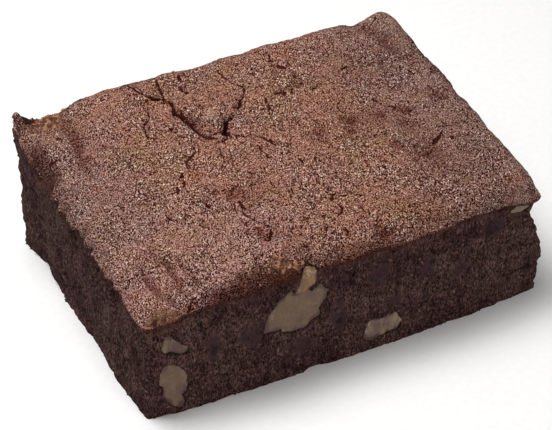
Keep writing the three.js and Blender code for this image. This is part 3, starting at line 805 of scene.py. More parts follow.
def add_crumb(step, material, kernels):
    """The cut crumb: a ring extruded up into a wall, closed below and under the crust, with pockets."""
    start_clean()
    along, across = round(LENGTH / step), round(DEPTH / step)
    rows = round(RIM["front_right"] / step)
    bpy.ops.mesh.primitive_circle_add(vertices=2 * (along + across), radius=1, fill_type="NGON")
    block = bpy.context.object
    last_row = rows + 1 + len(TUCK)
    extrude_rim(last_row, 1)
    net = read_net(block)
    row = np.round(net[:, 2]).astype(int)
    wall, under, last = (row > 0) & (row <= rows + 1), row > rows + 1, row == last_row
    u, v, side = perimeter(net, along, across)
    x, y = u * HALF_LENGTH, v * HALF_DEPTH
    height = top_height(x, y)
    risen = np.clip((row - 1) / rows, 0, 1)
    level = risen * (height - WALL_TOP) / height
    below = (height - WALL_TOP) * (1 - risen)  # mm below the wall's last ring
    sunk, inward = np.array([(0, 0), *TUCK])[np.clip(row - rows - 1, 0, None)].T
    inward = inward + 0.5 * (row == 0) + 0.4 * smooth(0.7, 0.1, below)
    rough = mix(0.35, 1, smooth(0, 1.2, WALL_TOP + (1 - level) * height))
    rough *= mix(0.45, 1, smooth(0, 5, level * height))
    away = outwards(u, v)
    points = place(u, v, level, rough) - away * inward[:, None]
    points[under, 2] = top_height(*points[under, :2].T) - sunk[under]
    points[last, 2] = plate_base(*points[last, :2].T) - LID_DEPTH - 2

    # Crumb relief: open pores, clumps, fine grain and drag marks of the knife
    smear = smooth(0.45, 0.75, swells(points, 6.5, 32)) * (side != 0)
    ragged = unevenness(points, 30, (0.6, 0.7), (1.1, 1.7))
    for t, z, reach_t, reach_z in SMEARS:
        spot = ((points[:, 0] - t) / reach_t) ** 2 + ((points[:, 2] - z) / reach_z) ** 2
        smear = np.maximum(smear, smooth(1.6, 0.3, spot + ragged) * (side == 0))
    torn = points + 0.5 * np.stack([swells(points, 1.1, seed) for seed in (38, 39, 40)], -1)
    pores = open_pores(torn, 2.6, 3, (0.36, 0.14), (0.6, 0.75))
    small_pores = open_pores(torn, 1.2, 6, (0.42, 0.16), (0.35, 0.6))
    lean = points * (1, 1, 0.28) + 0.35 * points[:, 2:] * (1, 1, 0)
    fibres = smooth(0.3, 0.0, np.abs(swells(lean, 0.9, 33))) * smooth(-0.2, 0.4, swells(points, 4.5, 34))
    clumps = unevenness(points, 35, (0.16, 1.5), (0.11, 0.8), (0.07, 0.5))
    relief = 1.1 * clumps - 0.35 * pores - 0.24 * small_pores - 0.2 * fibres
    relief = relief * mix(1, 0.6, smear) - 0.06 * smear
    points += away * (relief * wall * mix(0.6, 1, smooth(0.0, 1.2, points[:, 2])))[:, None]

    # Pockets: the crumb meets each walnut's cut side raggedly and goes in behind it
    nutty = np.full(len(points), FAR)
    deepest = np.full(len(points), np.inf)
    for kernel in kernels:
        here = wall & (side == list(FACES).index(kernel.face))
        share = kernel.bare_share(points) + unevenness(points, 41, (0.06, 1.9), (0.07, 0.7))
        out, cut = points @ kernel.out, kernel.height(points)
        frayed = unevenness(points, 43, (0.12, 1.3), (0.12, 0.6))
        lip = cut + mix(-0.3, 0.2, smooth(0.86, 1.06, share)) + frayed
        wanted = mix(out, lip, smooth(1.6, 1.1, share))
        wanted = mix(wanted, cut - POCKET, smooth(0.9, 0.8, share))
        deepest = np.where(here & (share < 0.86), cut - POCKET, deepest)
        points += np.outer((np.minimum(wanted, deepest) - out) * here, kernel.out)
        nutty = np.where(here, np.minimum(nutty, share), nutty)
    points[:, 2] = np.maximum(points[:, 2], 0)
    write_points(block, points)
    pan_side = bump(x, -HALF_LENGTH, 1.2) * smooth(24.8, 26.9, y + 1.2 * swells(points, 2.4, 46))
    # Among the shares, the pores and the nearness to the walnuts are painted as shade in the material
    write_shares(block, {
        "pore": np.clip(pores + 0.6 * small_pores + 0.5 * fibres, 0, 1) * wall,
        "smear": smear * wall,
        "under_crust": 0.8 * smooth(3.2, 0.3, below + 0.5 * swells(flat_points(x, y), 3, 45)),
        "pan_side": pan_side * smooth(-0.5, 0.4, swells(points, 1.3, 47)),
        "nutty": np.clip(nutty / 2, 0, 1),
    })
    pick(block)
    bpy.ops.object.shade_smooth_by_angle(angle=math.radians(65))
    finish_piece(block, "brownie_crumb", material, "brownie")


def add_walnut(node, voxel, material):
    """A walnut piece: its solid copied, remeshed fine, its edges softened, and given a slight relief."""
    kernel = Kernel(node)
    pick(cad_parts[node])
    bpy.ops.object.duplicate()
    piece = bpy.context.object
    for key in list(piece.keys()):
        del piece[key]
    piece.parent = None
    bpy.ops.object.mode_set(mode="EDIT")
    bpy.ops.mesh.select_all(action="SELECT")
    bpy.ops.mesh.remove_doubles(threshold=0.02 * MM)
    bpy.ops.object.mode_set(mode="OBJECT")
    remesh = piece.modifiers.new("Even net", "REMESH")
    remesh.mode = "VOXEL"
    remesh.voxel_size = voxel * MM
    bpy.ops.object.modifier_apply(modifier=remesh.name)
    soften = piece.modifiers.new("Worn edges", "SMOOTH")
    soften.factor = 0.5
    soften.iterations = 2
    bpy.ops.object.modifier_apply(modifier=soften.name)
    points = kernel.fitted(read_points(piece))
    points += read_normals(piece) * unevenness(points, 51, (0.09, 2.2), (0.05, 0.9), (0.02, 0.45))[:, None]
    write_points(piece, points)
    share = kernel.bare_share(points)
    behind = kernel.height(points) - points @ kernel.out
    frayed = share + unevenness(points, 54, (0.1, 2.0), (0.08, 0.8))
    crushed = smooth(0.6, 0.95, share) * smooth(-0.1, 0.5, swells(points, 2.4, 56))
    lightness, richness, veil = kernel.look
    write_shares(piece, {
        "skin": np.maximum(smooth(0.9, 1.15, frayed), smooth(0.25, 0.7, behind)),
        "lightness": np.full(len(points), lightness),
        "richness": np.full(len(points), richness),
        "veil": veil + 0.8 * smooth(0.74, 1.0, frayed),
        "crushed": np.maximum(crushed, 0.9 * (node == CHIP) * smooth(19.5, 21, points[:, 2])),
    })
    bpy.ops.object.shade_smooth()
    finish_piece(piece, node + "_cut", material, node)


def scatter(name, subdivisions, spots, normals, sizes, sink, rng, material):
    """One mesh of copies of one lump, each turned and squashed its own way, and sunk a share of its size."""
    start_clean()
    bpy.ops.mesh.primitive_ico_sphere_add(subdivisions=subdivisions, radius=1)
    piece = bpy.context.object
    ball = read_net(piece)
    ball *= (1 + unevenness(ball, 61, (0.35, 0.8), (0.2, 0.4)))[:, None]
    faces = np.array([polygon.vertices[:] for polygon in piece.data.polygons])
    all_points, all_faces = [], []
    for spot, normal, size in zip(spots, normals, sizes):
        angle = rng.uniform(0, 2 * math.pi)
        turn = np.array(Matrix.Rotation(angle, 3, Vector(rng.normal(size=3)).normalized()))
        squash = rng.uniform(0.6, 1.25, 3)
        lump = (ball * squash) @ turn.T * size
        all_faces.append(faces + len(ball) * len(all_points))
        all_points.append(lump + spot - normal * size * sink)
    points = np.concatenate(all_points)
    points[:, 2] = np.maximum(points[:, 2], 0.01)
    mesh = bpy.data.meshes.new(name)
    mesh.from_pydata((points + CENTRING) * MM, [], np.concatenate(all_faces).tolist())
    mesh.update()
    piece.data = mesh
    bpy.ops.object.shade_smooth()
    finish_piece(piece, name, material)
    return piece


# Materials
COLOUR_MIX = {"out": 2, "data_type": "RGBA"}
TINT = {**COLOUR_MIX, "blend_type": "MULTIPLY"}


def add_node(tree, kind, inputs=(), out=0, stops=(), **settings):
    """Adds a shader node with its settings, inputs by name or in order, and ramp stops. Gives an output."""
    node = tree.nodes.new("ShaderNode" + kind)
    for name, value in settings.items():
        setattr(node, name, value)
    for socket, value in inputs.items() if isinstance(inputs, dict) else enumerate(inputs):
        if isinstance(value, bpy.types.NodeSocket):
            tree.links.new(value, node.inputs[socket])
        else:
            node.inputs[socket].default_value = linear(value) if isinstance(value, str) else value
    for i, (position, colour) in enumerate(stops):
        stop = node.color_ramp.elements[i] if i < 2 else node.color_ramp.elements.new(position)
        stop.position = position
        stop.color = linear(colour)
    return node.outputs[out] if node.outputs else None


def new_material(name, shares=()):
    """An empty material, add_node for its tree, the place on the object, and shares stored on the mesh."""
    material = bpy.data.materials.new(name)
    material.use_nodes = True
    material.node_tree.nodes.clear()
    add = functools.partial(add_node, material.node_tree)
    spot = add("TexCoord", out="Object")
    stored = {share: add("Attribute", out="Fac", attribute_name=share) for share in shares}
    return material, add, spot, stored


def close_material(add, colour, roughness, height, distance, specular):
    """The shader of a food surface: colour, roughness and bump height in mm."""
    bumps = add("Bump", {"Height": height, "Distance": distance * MM, "Strength": 1.0})
    shader = add("BsdfPrincipled", {
        "Base Color": colour, "Roughness": roughness, "Normal": bumps, "Specular IOR Level": specular,
    })
    add("OutputMaterial", {"Surface": shader})


def crust_material(colours):
    """Sugar crust baked on chocolate batter: matt, sandy with crystals and their painted glints, full of
    pinholes, with painted shade in its sunken places.
    """
    shares = (
        "crack", "pore", "rim", "toast", "pale", "dent", "ruddy", "calm", "dusky", "outer", "flank", "frost",
    )
    material, add, spot, share = new_material("baked_sugar_crust", shares)
    # Broad patches of 9 mm and mottling of 2.6 mm, from olive tan through mauve brown to reddish
    patches = add("TexNoise", {"Vector": spot, "Scale": 1 / (9 * MM), "Detail": 3.0})
    mottle = add("TexNoise", {"Vector": spot, "Scale": 1 / (2.6 * MM), "Detail": 1.5})
    tone = add("Math", (patches, mottle), operation="ADD")
    tone = add("Math", (share["ruddy"], 0.5, tone), operation="MULTIPLY_ADD")
    tone = add("MapRange", (tone, 0.85, 1.65))
    tints = ((0.1, "crust_tan"), (0.4, "crust"), (0.65, "crust_pink"), (0.95, "crust_ruddy"))
    tint = add("ValToRGB", (tone,), stops=[(position, colours[name]) for position, name in tints])
    cast = add("Mix", {0: share["outer"], 6: colours["warm_cast"], 7: colours["mauve_cast"]}, **COLOUR_MIX)
    cast = add("Mix", {0: share["frost"], 6: cast, 7: colours["frost_cast"]}, **COLOUR_MIX)
    base = add("Mix", {0: 1.0, 6: tint, 7: cast}, **TINT)
    # Sand of 0.19 mm, drawn out along the batter's flow, stronger in some places than in others
    flow = {"Rotation": (0.0, 0.0, -0.47), "Scale": (1.0, 1.5, 1.0)}
    drawn = add("Mapping", {"Vector": spot, **flow}, vector_type="TEXTURE")
    sand = add("TexNoise", {"Vector": drawn, "Scale": 1 / (0.185 * MM), "Detail": 0.5})
    zones = add("TexNoise", {"Vector": spot, "Scale": 1 / (6 * MM), "Detail": 1.5})
    zones = add("Math", (share["calm"], -0.14, zones), operation="MULTIPLY_ADD")
    strength = add("MapRange", (zones, 0.34, 0.64, 0.8, 1.6))
    centred = add("Math", (sand, -0.5), operation="ADD")
    centred = add("Math", (centred, strength, 0.5), operation="MULTIPLY_ADD")
    grades = ((0.3, "#140200"), (0.42, "#845640"), (0.5, "#c9bbb3"), (0.58, "#ece5e0"), (0.7, "#ffffff"))
    gaps = add("ValToRGB", (centred,), stops=grades)
    # Sugar crystals: pale specks of their own, brightened as painted glints
    crystals = add("TexNoise", {"Vector": drawn, "Scale": 1 / (0.19 * MM), "Detail": 0.5, "W": 3.0},
                   noise_dimensions="4D")
    bright = add("Math", (zones, 0.25, crystals), operation="MULTIPLY_ADD")
    bright = add("MapRange", (bright, 0.75, 0.86))
    # Crazing: curved strokes 0.2 mm wide and about 1 mm long
    strokes = add("TexNoise", {"Vector": drawn, "Scale": 1 / (0.34 * MM), "Detail": 0.5, "W": 7.0},
                  noise_dimensions="4D")
    strokes = add("Math", (strokes, 0.5), operation="SUBTRACT")
    strokes = add("Math", (strokes,), operation="ABSOLUTE")
    strokes = add("MapRange", (strokes, 0.08, 0.03))
    places = add("TexNoise", {"Vector": spot, "Scale": 1 / (0.8 * MM), "Detail": 1.0, "W": 13.0},
                 noise_dimensions="4D")
    places = add("Math", (strength, 0.12, places), operation="MULTIPLY_ADD")
    places = add("MapRange", (places, 0.6, 0.76, 0, 0.75))
    strokes = add("Math", (strokes, places), operation="MULTIPLY")
    # Pinholes of 0.4 mm
    holes = {"Scale": 1 / (0.3 * MM), "Detail": 0.5, "Roughness": 0.6, "W": 9.0, "Distortion": 0.3}
    hole = add("TexNoise", {"Vector": drawn, **holes}, noise_dimensions="4D")
    hole = add("Math", (zones, -0.2, hole), operation="MULTIPLY_ADD")
    hole = add("MapRange", (hole, 0.28, 0.24))
    hole = add("Math", (hole, strokes), operation="MAXIMUM")
    pore = add("Math", (share["pore"], 0.25), operation="MULTIPLY")
    hole = add("Math", (hole, pore), operation="MAXIMUM")
    # Toasted batter, pale crumbs and a painted sheen, painted shade in sunken places, on the outer slope and
    # in the dark turn of the crust, and what shows through its cracks
    lumps = ((0.36, "toast_dark"), (0.5, "toast"), (0.64, "toast_light"))
    lumps = add("ValToRGB", (crystals,), stops=[(position, colours[name]) for position, name in lumps])
    toasted = add("Math", (mottle, 0.5, share["toast"]), operation="MULTIPLY_ADD")
    toasted = add("MapRange", (toasted, 0.45, 0.95, 0, 0.8))
    pale = add("Math", (bright, 0.22), operation="ADD")
    pale = add("Math", (share["pale"], pale), operation="MULTIPLY", use_clamp=True)
    # Painted shade in sunken patches and fold creases
    dent = add("Math", (share["dent"], 0.8), operation="MULTIPLY")
    # Painted shade on the outer slope of the back left corner, broken up by the sand
    flank = add("Math", (centred, -0.8, share["flank"]), operation="MULTIPLY_ADD")
    flank = add("MapRange", (flank, -0.3, 0.4))
    # The crust's rolled edge: its own darker red-brown, and painted shade where it turns down
    turn = add("Math", (centred, 0.5, share["rim"]), operation="MULTIPLY_ADD")
    turned = add("MapRange", (turn, 0.35, 1.0), interpolation_type="SMOOTHSTEP")
    deep = add("MapRange", (turn, 0.95, 1.3, 0, 0.8))
    cut = add("Mix", {0: 0.9, 6: colours["crumb_top"], 7: gaps}, **TINT)
    split = add("Math", (sand, -0.5, share["crack"]), operation="MULTIPLY_ADD")
    split = add("MapRange", (split, 0.12, 0.28, 0, 0.97))
    for factor, over, way in (
        (1.0, gaps, TINT),
        (bright, colours["crystal"], COLOUR_MIX),
        (hole, colours["pinhole"], COLOUR_MIX),
        (dent, colours["dent"], TINT),
        (share["dusky"], colours["dusk"], TINT),
        (flank, colours["flank"], TINT),
        (toasted, lumps, COLOUR_MIX),
        (pale, colours["pale_crumb"], COLOUR_MIX),
        (turned, colours["rim"], TINT),
        (deep, cut, COLOUR_MIX),
        (split, colours["crack"], COLOUR_MIX),
    ):
        base = add("Mix", {0: factor, 6: base, 7: over}, **way)
    height = add("Math", (hole, -0.5, sand), operation="MULTIPLY_ADD")
    height = add("Math", (bright, 0.2, height), operation="MULTIPLY_ADD")
    roughness = add("MapRange", (bright, 0, 1, 0.75, 0.5))
    close_material(add, base, roughness, height, 0.3, 0.03)
    return material


def torn_material(colours):
    """Torn crumb from just under the crust: dry, golden where it baked hardest, with dark chocolate pits."""
    material, add, spot, _ = new_material("torn_golden_crumb")
    patches = add("TexNoise", {"Vector": spot, "Scale": 1 / (1.1 * MM), "Detail": 2.0})
    grain = add("TexNoise", {"Vector": spot, "Scale": 1 / (0.3 * MM), "Detail": 2.0, "Roughness": 0.6})
    tone = add("Math", (patches, grain), operation="ADD")
    tone = add("MapRange", (tone, 0.8, 1.2))
    golds = ((0.15, "toast_dark"), (0.5, "toast"), (0.9, "toast_light"))
    base = add("ValToRGB", (tone,), stops=[(position, colours[name]) for position, name in golds])
    close_material(add, base, 0.8, grain, 0.2, 0.2)
    return material


def crumb_material(colours):
    """Cut brownie crumb: dense, moist and fudgy, dragged by the knife, with fine light grains and painted
    glints, and painted shade in its pores and round the walnuts.
    """
    shares = "pore", "smear", "under_crust", "pan_side", "nutty"
    material, add, spot, share = new_material("moist_cut_crumb", shares)
    patches = add("TexNoise", {"Vector": spot, "Scale": 1 / (6 * MM), "Detail": 4.0})
    browns = ((0.3, "crumb_dark"), (0.5, "crumb"), (0.7, "crumb_light"))
    base = add("ValToRGB", (patches,), stops=[(position, colours[name]) for position, name in browns])
    # Marks of the knife, from brown to purple, and grain of 0.5 mm stretched along its path
    stroked = add("Mapping", {"Vector": spot, "Rotation": (0.0, 0.25, 0.0), "Scale": (1.0, 1.0, 0.3)})
    strokes = add("TexNoise", {"Vector": stroked, "Scale": 1 / (1.5 * MM), "Detail": 2.0, "W": 8.0},
                  noise_dimensions="4D")
    strokes = add("ValToRGB", (strokes,), stops=((0.36, "#8f8896"), (0.5, "#d8d4d4"), (0.64, "#ffffff")))
    dragged = add("Mapping", {"Vector": spot, "Rotation": (0.0, 0.35, 0.0), "Scale": (1.0, 1.0, 0.4)})
    grain = add("TexNoise", {"Vector": dragged, "Scale": 1 / (0.55 * MM), "Detail": 4.0, "Roughness": 0.7})
    shade = add("ValToRGB", (grain,), stops=((0.36, "#4c4c4c"), (0.5, "#b4b4b4"), (0.62, "#ffffff")))
    specks = {"Scale": 1 / (0.22 * MM), "Detail": 1.0, "W": 2.0, "Distortion": 0.6}
    dust = add("TexNoise", {"Vector": dragged, **specks}, noise_dimensions="4D")
    specks = add("ValToRGB", (dust,), stops=((0.36, "#484848"), (0.5, "#b4b4b4"), (0.64, "#ffffff")))
    sharp = add("MapRange", (share["smear"], 0, 1, 0.95, 0.45))
    # Light flecks: pale grains of the crumb, and painted glints on its moist surface
    fleck = add("TexNoise", {"Vector": spot, "Scale": 1 / (0.6 * MM), "Detail": 2.0, "W": 5.0},
                noise_dimensions="4D")
    fleck = add("MapRange", (fleck, 0.6, 0.7, 0, 0.55))
    top = add("Math", (share["under_crust"], grain), operation="MULTIPLY")
    top = add("MapRange", (top, 0.15, 0.6, 0, 0.8))
    side = add("Math", (share["pan_side"], dust), operation="MULTIPLY")
    side = add("MapRange", (side, 0.25, 0.65, 0, 0.7))
    # Walnut oil and crumbs of its meat rubbed into the crumb beside it, and painted shade in the ring where
    # the crumb meets the walnut
    rubbed = add("MapRange", (share["nutty"], 0.7, 0.45))
    rubbed = add("Math", (rubbed, dust), operation="MULTIPLY")
    rubbed = add("MapRange", (rubbed, 0.2, 0.6, 0, 0.3))
    walnut_ring_shade = add("Math", (grain, 0.08, share["nutty"]), operation="MULTIPLY_ADD")
    walnut_ring_shade = add("MapRange", (walnut_ring_shade, 0.6, 0.54, 0, 0.5))
    smeared = add("Math", (grain, 0.35), operation="ADD")
    smeared = add("Math", (share["smear"], smeared), operation="MULTIPLY")
    # Painted shade in the open pores
    pore = add("Math", (share["pore"], 0.6), operation="MULTIPLY")
    for factor, over, way in (
        (0.55, strokes, TINT),
        (0.5, shade, TINT),
        (sharp, specks, TINT),
        (fleck, colours["fleck"], COLOUR_MIX),
        (top, colours["crumb_top"], COLOUR_MIX),
        (side, colours["pan_side"], COLOUR_MIX),
        (rubbed, colours["rubbed"], COLOUR_MIX),
        (walnut_ring_shade, colours["hollow"], COLOUR_MIX),
        (smeared, colours["smear"], COLOUR_MIX),
        (pore, colours["hollow"], COLOUR_MIX),
    ):
        base = add("Mix", {0: factor, 6: base, 7: over}, **way)
    height = add("Math", (grain, dust), operation="ADD")
    roughness = add("MapRange", (share["smear"], 0, 1, 0.9, 0.75))
    close_material(add, base, roughness, height, 0.3, 0.05)
    return material


def walnut_material(colours):
    """Baked walnut cut across: waxy cream meat darkened by the oven, thin brown skin at its edges."""
    shares = "skin", "crushed", "lightness", "richness", "veil"
    material, add, spot, share = new_material("cut_walnut_kernel", shares)
    veins = add("TexNoise", {"Vector": spot, "Scale": 1 / (4 * MM), "Detail": 3.0, "Distortion": 1.2})
    meats = ((0.3, "meat_dark"), (0.5, "meat"), (0.7, "meat_light"))
    base = add("ValToRGB", (veins,), stops=[(position, colours[name]) for position, name in meats])
    cells = add("TexNoise", {"Vector": spot, "Scale": 1 / (0.5 * MM), "Detail": 3.0, "Roughness": 0.6})
    shade = add("ValToRGB", (cells,), stops=((0.3, "#cccccc"), (0.6, "#ffffff")))
    base = add("Mix", {0: 0.6, 6: base, 7: shade}, **TINT)
    # Chalky specks where the knife crushed the meat, and the skin
    chalk = add("TexNoise", {"Vector": spot, "Scale": 1 / (0.45 * MM), "Detail": 1.0, "W": 4.0},
                noise_dimensions="4D")
    chalk = add("MapRange", (chalk, 0.5, 0.62, 0, 0.8))
    chalk = add("Math", (chalk, share["crushed"]), operation="MULTIPLY")
    base = add("Mix", {0: chalk, 6: base, 7: colours["chalk"]}, **COLOUR_MIX)
    skin = add("Math", (cells, 0.5, share["skin"]), operation="MULTIPLY_ADD")
    skin = add("MapRange", (skin, 0.35, 1.05, 0, 0.9))
    base = add("Mix", {0: skin, 6: base, 7: colours["skin"]}, **COLOUR_MIX)
    own = {"Value": share["lightness"], "Saturation": share["richness"]}
    base = add("HueSaturation", {"Color": base, **own})
    # Crumb that the knife smeared over it, in slanting streaks
    slanting = add("Mapping", {"Vector": spot, "Rotation": (0.0, 0.9, 0.0), "Scale": (1.0, 1.0, 0.35)})
    streaks = add("TexNoise", {"Vector": slanting, "Scale": 1 / (1.1 * MM), "Detail": 3.0, "W": 6.0},
                  noise_dimensions="4D")
    streaks = add("MapRange", (streaks, 0.43, 0.57, 0, 2.0))
    veil = add("Math", (share["veil"], streaks), operation="MULTIPLY", use_clamp=True)
    base = add("Mix", {0: veil, 6: base, 7: colours["veil"]}, **COLOUR_MIX)
    height = add("Math", (veins, 1.5, cells), operation="MULTIPLY_ADD")
    close_material(add, base, 0.5, height, 0.06, 0.35)
    return material


def floor_material():
    """Matt white board, with a trace of unevenness."""
    material, add, spot, _ = new_material("matt_white_board")
    fibre = add("TexNoise", {"Vector": spot, "Scale": 1 / (1.2 * MM), "Detail": 3.0})
    base = add("ValToRGB", (fibre,), stops=((0.3, "#f4f4f3"), (0.7, "#f8f8f7")))
    close_material(add, base, 0.8, fibre, 0.01, 0.2)
    return material


COLOURS = {
    "crust": "#d0a292",
    "crust_pink": "#cfa49a",
    "crust_tan": "#c9a289",
    "crust_ruddy": "#cf9783",
    "crystal": "#fbe3d6",
    "pinhole": "#42120a",
    "dusk": "#e8e2df",
    "warm_cast": "#ece7df",
    "mauve_cast": "#d9e0e6",
    "frost_cast": "#f1f4fa",
    "pan_side": "#86563f",
    "rubbed": "#66503f",
    "dent": "#a87468",
    "flank": "#ad9b9b",
    "toast_dark": "#47231a",
    "toast": "#7d523d",
    "toast_light": "#ab8162",
    "pale_crumb": "#cbb09c",
    "rim": "#937d78",
    "crack": "#3d1108",
    "crumb_top": "#523029",
    "crumb_dark": "#644449",
    "crumb": "#765452",
    "crumb_light": "#84655c",
    "fleck": "#7f6459",
    "smear": "#38272b",
    "hollow": "#1e0d0b",
    "meat_dark": "#735b45",
    "meat": "#82674e",
    "meat_light": "#8b7151",
    "chalk": "#a3937f",
    "skin": "#4a3329",
    "veil": "#4a2f2e",
}


class BrownieSizes(bpy.types.PropertyGroup):
    crust_step: bpy.props.FloatProperty(
        name="Crust net", description="Spacing of the crust's net in mm", default=0.235, min=0.2, max=2.0
    )
    crumb_step: bpy.props.FloatProperty(
        name="Crumb net", description="Spacing of the crumb's net in mm", default=0.28, min=0.2, max=2.0
    )
    kernel_voxel: bpy.props.FloatProperty(
        name="Walnut net", description="Spacing of the walnuts' net in mm", default=0.22, min=0.1, max=1.0
    )
    crumb_count: bpy.props.IntProperty(
        name="Crumbs", description="How many loose crumbs cling to the faces", default=900, min=0, max=4000
    )
    flake_count: bpy.props.IntProperty(
        name="Sugar flakes", description="How many flakes lie on the crust", default=1100, min=0, max=4000
    )


class BrownieColours(bpy.types.PropertyGroup):
    crust: bpy.props.StringProperty(
        name="Crust", description="Colour of the crust", default=COLOURS["crust"]
    )
    crumb: bpy.props.StringProperty(
        name="Crumb", description="Colour of the cut crumb", default=COLOURS["crumb"]
    )
    meat: bpy.props.StringProperty(
        name="Walnut", description="Colour of the walnut's meat", default=COLOURS["meat"]
    )


class BrownieStudio(bpy.types.PropertyGroup):
    azimuth: bpy.props.FloatProperty(
        name="Azimuth", description="Camera's turn", default=math.radians(-27.17), subtype="ANGLE"
    )
    elevation: bpy.props.FloatProperty(
        name="Elevation", description="Camera's height angle", default=math.radians(37.83), subtype="ANGLE"
    )
    distance: bpy.props.FloatProperty(
        name="Distance", description="Camera to the slice", default=0.41757, unit="LENGTH"
    )
    key_power: bpy.props.FloatProperty(name="Key light", description="Power of the large light", default=1.5)
    fill: bpy.props.FloatProperty(name="Fill", description="Strength of the pale surroundings", default=0.3)


def chosen_colours():
    picked = bpy.context.scene.brownie_colours
    return {**COLOURS, "crust": picked.crust, "crumb": picked.crumb, "meat": picked.meat}


def find_material(name, maker):
    return bpy.data.materials.get(name) or maker(chosen_colours())


class BROWNIE_OT_crust(bpy.types.Operator):
    """Models the crackled sugar crust."""

    bl_idname = "brownie.crust"
    bl_label = "Crust"

    def execute(self, context):
        add_crust(context.scene.brownie_sizes.crust_step, find_material("baked_sugar_crust", crust_material))
        return {"FINISHED"}


class BROWNIE_OT_crumb(bpy.types.Operator):
    """Models the cut crumb under the crust, with its walnuts' pockets."""

    bl_idname = "brownie.crumb"
    bl_label = "Cut crumb"

    def execute(self, context):
        material = find_material("moist_cut_crumb", crumb_material)
        add_crumb(context.scene.brownie_sizes.crumb_step, material, [Kernel(node) for node in WALNUTS])
        return {"FINISHED"}


class BROWNIE_OT_walnuts(bpy.types.Operator):
    """Models the walnut pieces in the cut faces."""

    bl_idname = "brownie.walnuts"
    bl_label = "Walnut pieces"

    def execute(self, context):
        material = find_material("cut_walnut_kernel", walnut_material)
        for node in WALNUTS:
            add_walnut(node, context.scene.brownie_sizes.kernel_voxel, material)
        return {"FINISHED"}


class BROWNIE_OT_crumbs(bpy.types.Operator):
    """Strews sugary flakes on the crust and crumbs on the cut faces."""

    bl_idname = "brownie.crumbs"
    bl_label = "Flakes and crumbs"

    def execute(self, context):
        sizes = context.scene.brownie_sizes
        rng = np.random.default_rng(12)
        lid = bpy.data.objects["brownie_crust"]
        points, normals = read_points(lid), read_normals(lid)
        # Flakes lie where the crust is fairly level, and not on its skirt
        inner = (normals[:, 2] > 0.5) & (points[:, 2] > 18)
        chosen = rng.choice(np.flatnonzero(inner), sizes.flake_count, replace=False)
        flakes = scatter(
            "sugar_flakes", 1, points[chosen], normals[chosen],
            mix(*FLAKE_SIZES, rng.uniform(0, 1, len(chosen)) ** 4), 0.2, rng,
            find_material("baked_sugar_crust", crust_material),
        )
        write_shares(flakes, {"pale": np.full(len(flakes.data.vertices), 0.9)})
        block = bpy.data.objects["brownie_crumb"]
        points, normals = read_points(block), read_normals(block)
        nutty = np.empty(len(points), np.float32)
        block.data.attributes["nutty"].data.foreach_get("value", nutty)
        # Crumbs cling to the cut faces beside the walnuts, most of them just above the board
        free = (np.abs(normals[:, 2]) < 0.8) & (nutty > 0.55) & (points[:, 2] < 21)
        weight = np.where(free, 1 + 3 * np.exp(-points[:, 2] / 1.5), 0)
        chosen = rng.choice(len(points), sizes.crumb_count, replace=False, p=weight / weight.sum())
        scatter(
            "cut_crumbs", 1, points[chosen], normals[chosen],
            rng.uniform(*CRUMB_SIZES, len(chosen)), 0.35, rng,
            find_material("moist_cut_crumb", crumb_material),
        )
        return {"FINISHED"}


class BROWNIE_OT_torn(bpy.types.Operator):
    """Piles torn crumbs where the crust has broken: at the back left lip and beside the walnut chip."""

    bl_idname = "brownie.torn"
    bl_label = "Torn crumbs"

    def execute(self, context):
        rng = np.random.default_rng(5)
        lid = bpy.data.objects["brownie_crust"]
        points, normals = read_points(lid), read_normals(lid)
        on_top = (normals[:, 2] > 0.2) & (points[:, 2] > 19)
        chosen = []
        for (x, y), (reach_x, reach_y), count in TORN:
            near = bump(points[:, 0], x, reach_x) * bump(points[:, 1], y, reach_y) * on_top
            chosen.append(rng.choice(len(points), count, replace=False, p=near / near.sum()))
        chosen = np.concatenate(chosen)
        scatter(
            "torn_crumbs", 2, points[chosen], normals[chosen],
            rng.uniform(*TORN_SIZES, len(chosen)), 0.2, rng,
            find_material("torn_golden_crumb", torn_material),
        )
        return {"FINISHED"}


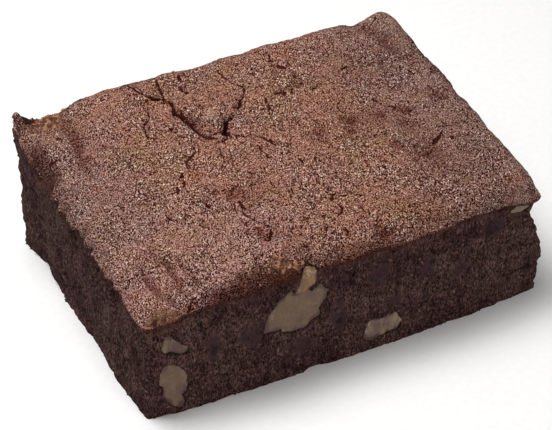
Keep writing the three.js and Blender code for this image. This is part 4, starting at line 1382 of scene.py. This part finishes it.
class BROWNIE_OT_stage(bpy.types.Operator):
    """Sets the white board, soft studio light and the camera."""

    bl_idname = "brownie.stage"
    bl_label = "Stage"

    def execute(self, context):
        studio = context.scene.brownie_studio
        start_clean()
        bpy.ops.mesh.primitive_plane_add(size=6, location=(0, 0, 0))
        floor = context.object
        floor.name = "white_board"
        floor.data.materials.append(floor_material())

        world = bpy.data.worlds.new("pale_surroundings")
        world.use_nodes = True
        background = world.node_tree.nodes["Background"]
        background.inputs["Color"].default_value = linear("#fffdfa")
        background.inputs["Strength"].default_value = studio.fill
        context.scene.world = world

        for name, power, size, spot in SOFT_BOXES:
            bpy.ops.object.light_add(type="AREA", location=spot)
            light = context.object
            light.name = name
            light.data.size = size
            light.data.energy = power * studio.key_power
            light.rotation_euler = Vector(spot).to_track_quat("Z", "Y").to_euler()

        az, el = studio.azimuth, studio.elevation
        back = Vector((math.sin(az) * math.cos(el), -math.cos(az) * math.cos(el), math.sin(el)))
        right = Vector((math.cos(az), math.sin(az), 0))
        up = back.cross(right)
        eye = back * studio.distance + right * AIM[0] * MM + up * AIM[1] * MM
        bpy.ops.object.camera_add()
        camera = context.object
        camera.name = "photo_view"
        camera.data.lens = LENS
        camera.data.sensor_width = SENSOR
        camera.data.clip_start = 0.01
        camera.matrix_world = Matrix([(right[i], up[i], back[i], eye[i]) for i in range(3)] + [(0, 0, 0, 1)])
        context.scene.camera = camera
        context.scene.view_settings.view_transform = "Standard"
        return {"FINISHED"}


class BROWNIE_PT_panel(bpy.types.Panel):
    """Lists the brownie's steps, sizes and colours."""

    bl_label = "Walnut brownie"
    bl_idname = "BROWNIE_PT_panel"
    bl_space_type = "VIEW_3D"
    bl_region_type = "UI"
    bl_category = "Brownie"

    def draw(self, context):
        for step in STEPS:
            self.layout.operator(step.bl_idname)
        for group in (getattr(context.scene, name) for name in GROUPS):
            for name in group.bl_rna.properties.keys():
                if name not in ("rna_type", "name"):
                    self.layout.prop(group, name)


STEPS = (
    BROWNIE_OT_crust,
    BROWNIE_OT_crumb,
    BROWNIE_OT_walnuts,
    BROWNIE_OT_crumbs,
    BROWNIE_OT_torn,
    BROWNIE_OT_stage,
)
GROUPS = {"brownie_sizes": BrownieSizes, "brownie_colours": BrownieColours, "brownie_studio": BrownieStudio}


def register():
    for group in GROUPS.values():
        bpy.utils.register_class(group)
    for step in (*STEPS, BROWNIE_PT_panel):
        bpy.utils.register_class(step)
    for name, group in GROUPS.items():
        setattr(bpy.types.Scene, name, bpy.props.PointerProperty(type=group))


def unregister():
    for name in GROUPS:
        delattr(bpy.types.Scene, name)
    for step in (BROWNIE_PT_panel, *reversed(STEPS)):
        bpy.utils.unregister_class(step)
    for group in reversed(tuple(GROUPS.values())):
        bpy.utils.unregister_class(group)


def main():
    register()
    for step in STEPS:
        area, name = step.bl_idname.split(".")
        getattr(getattr(bpy.ops, area), name)()


if __name__ == "__main__":
    main()
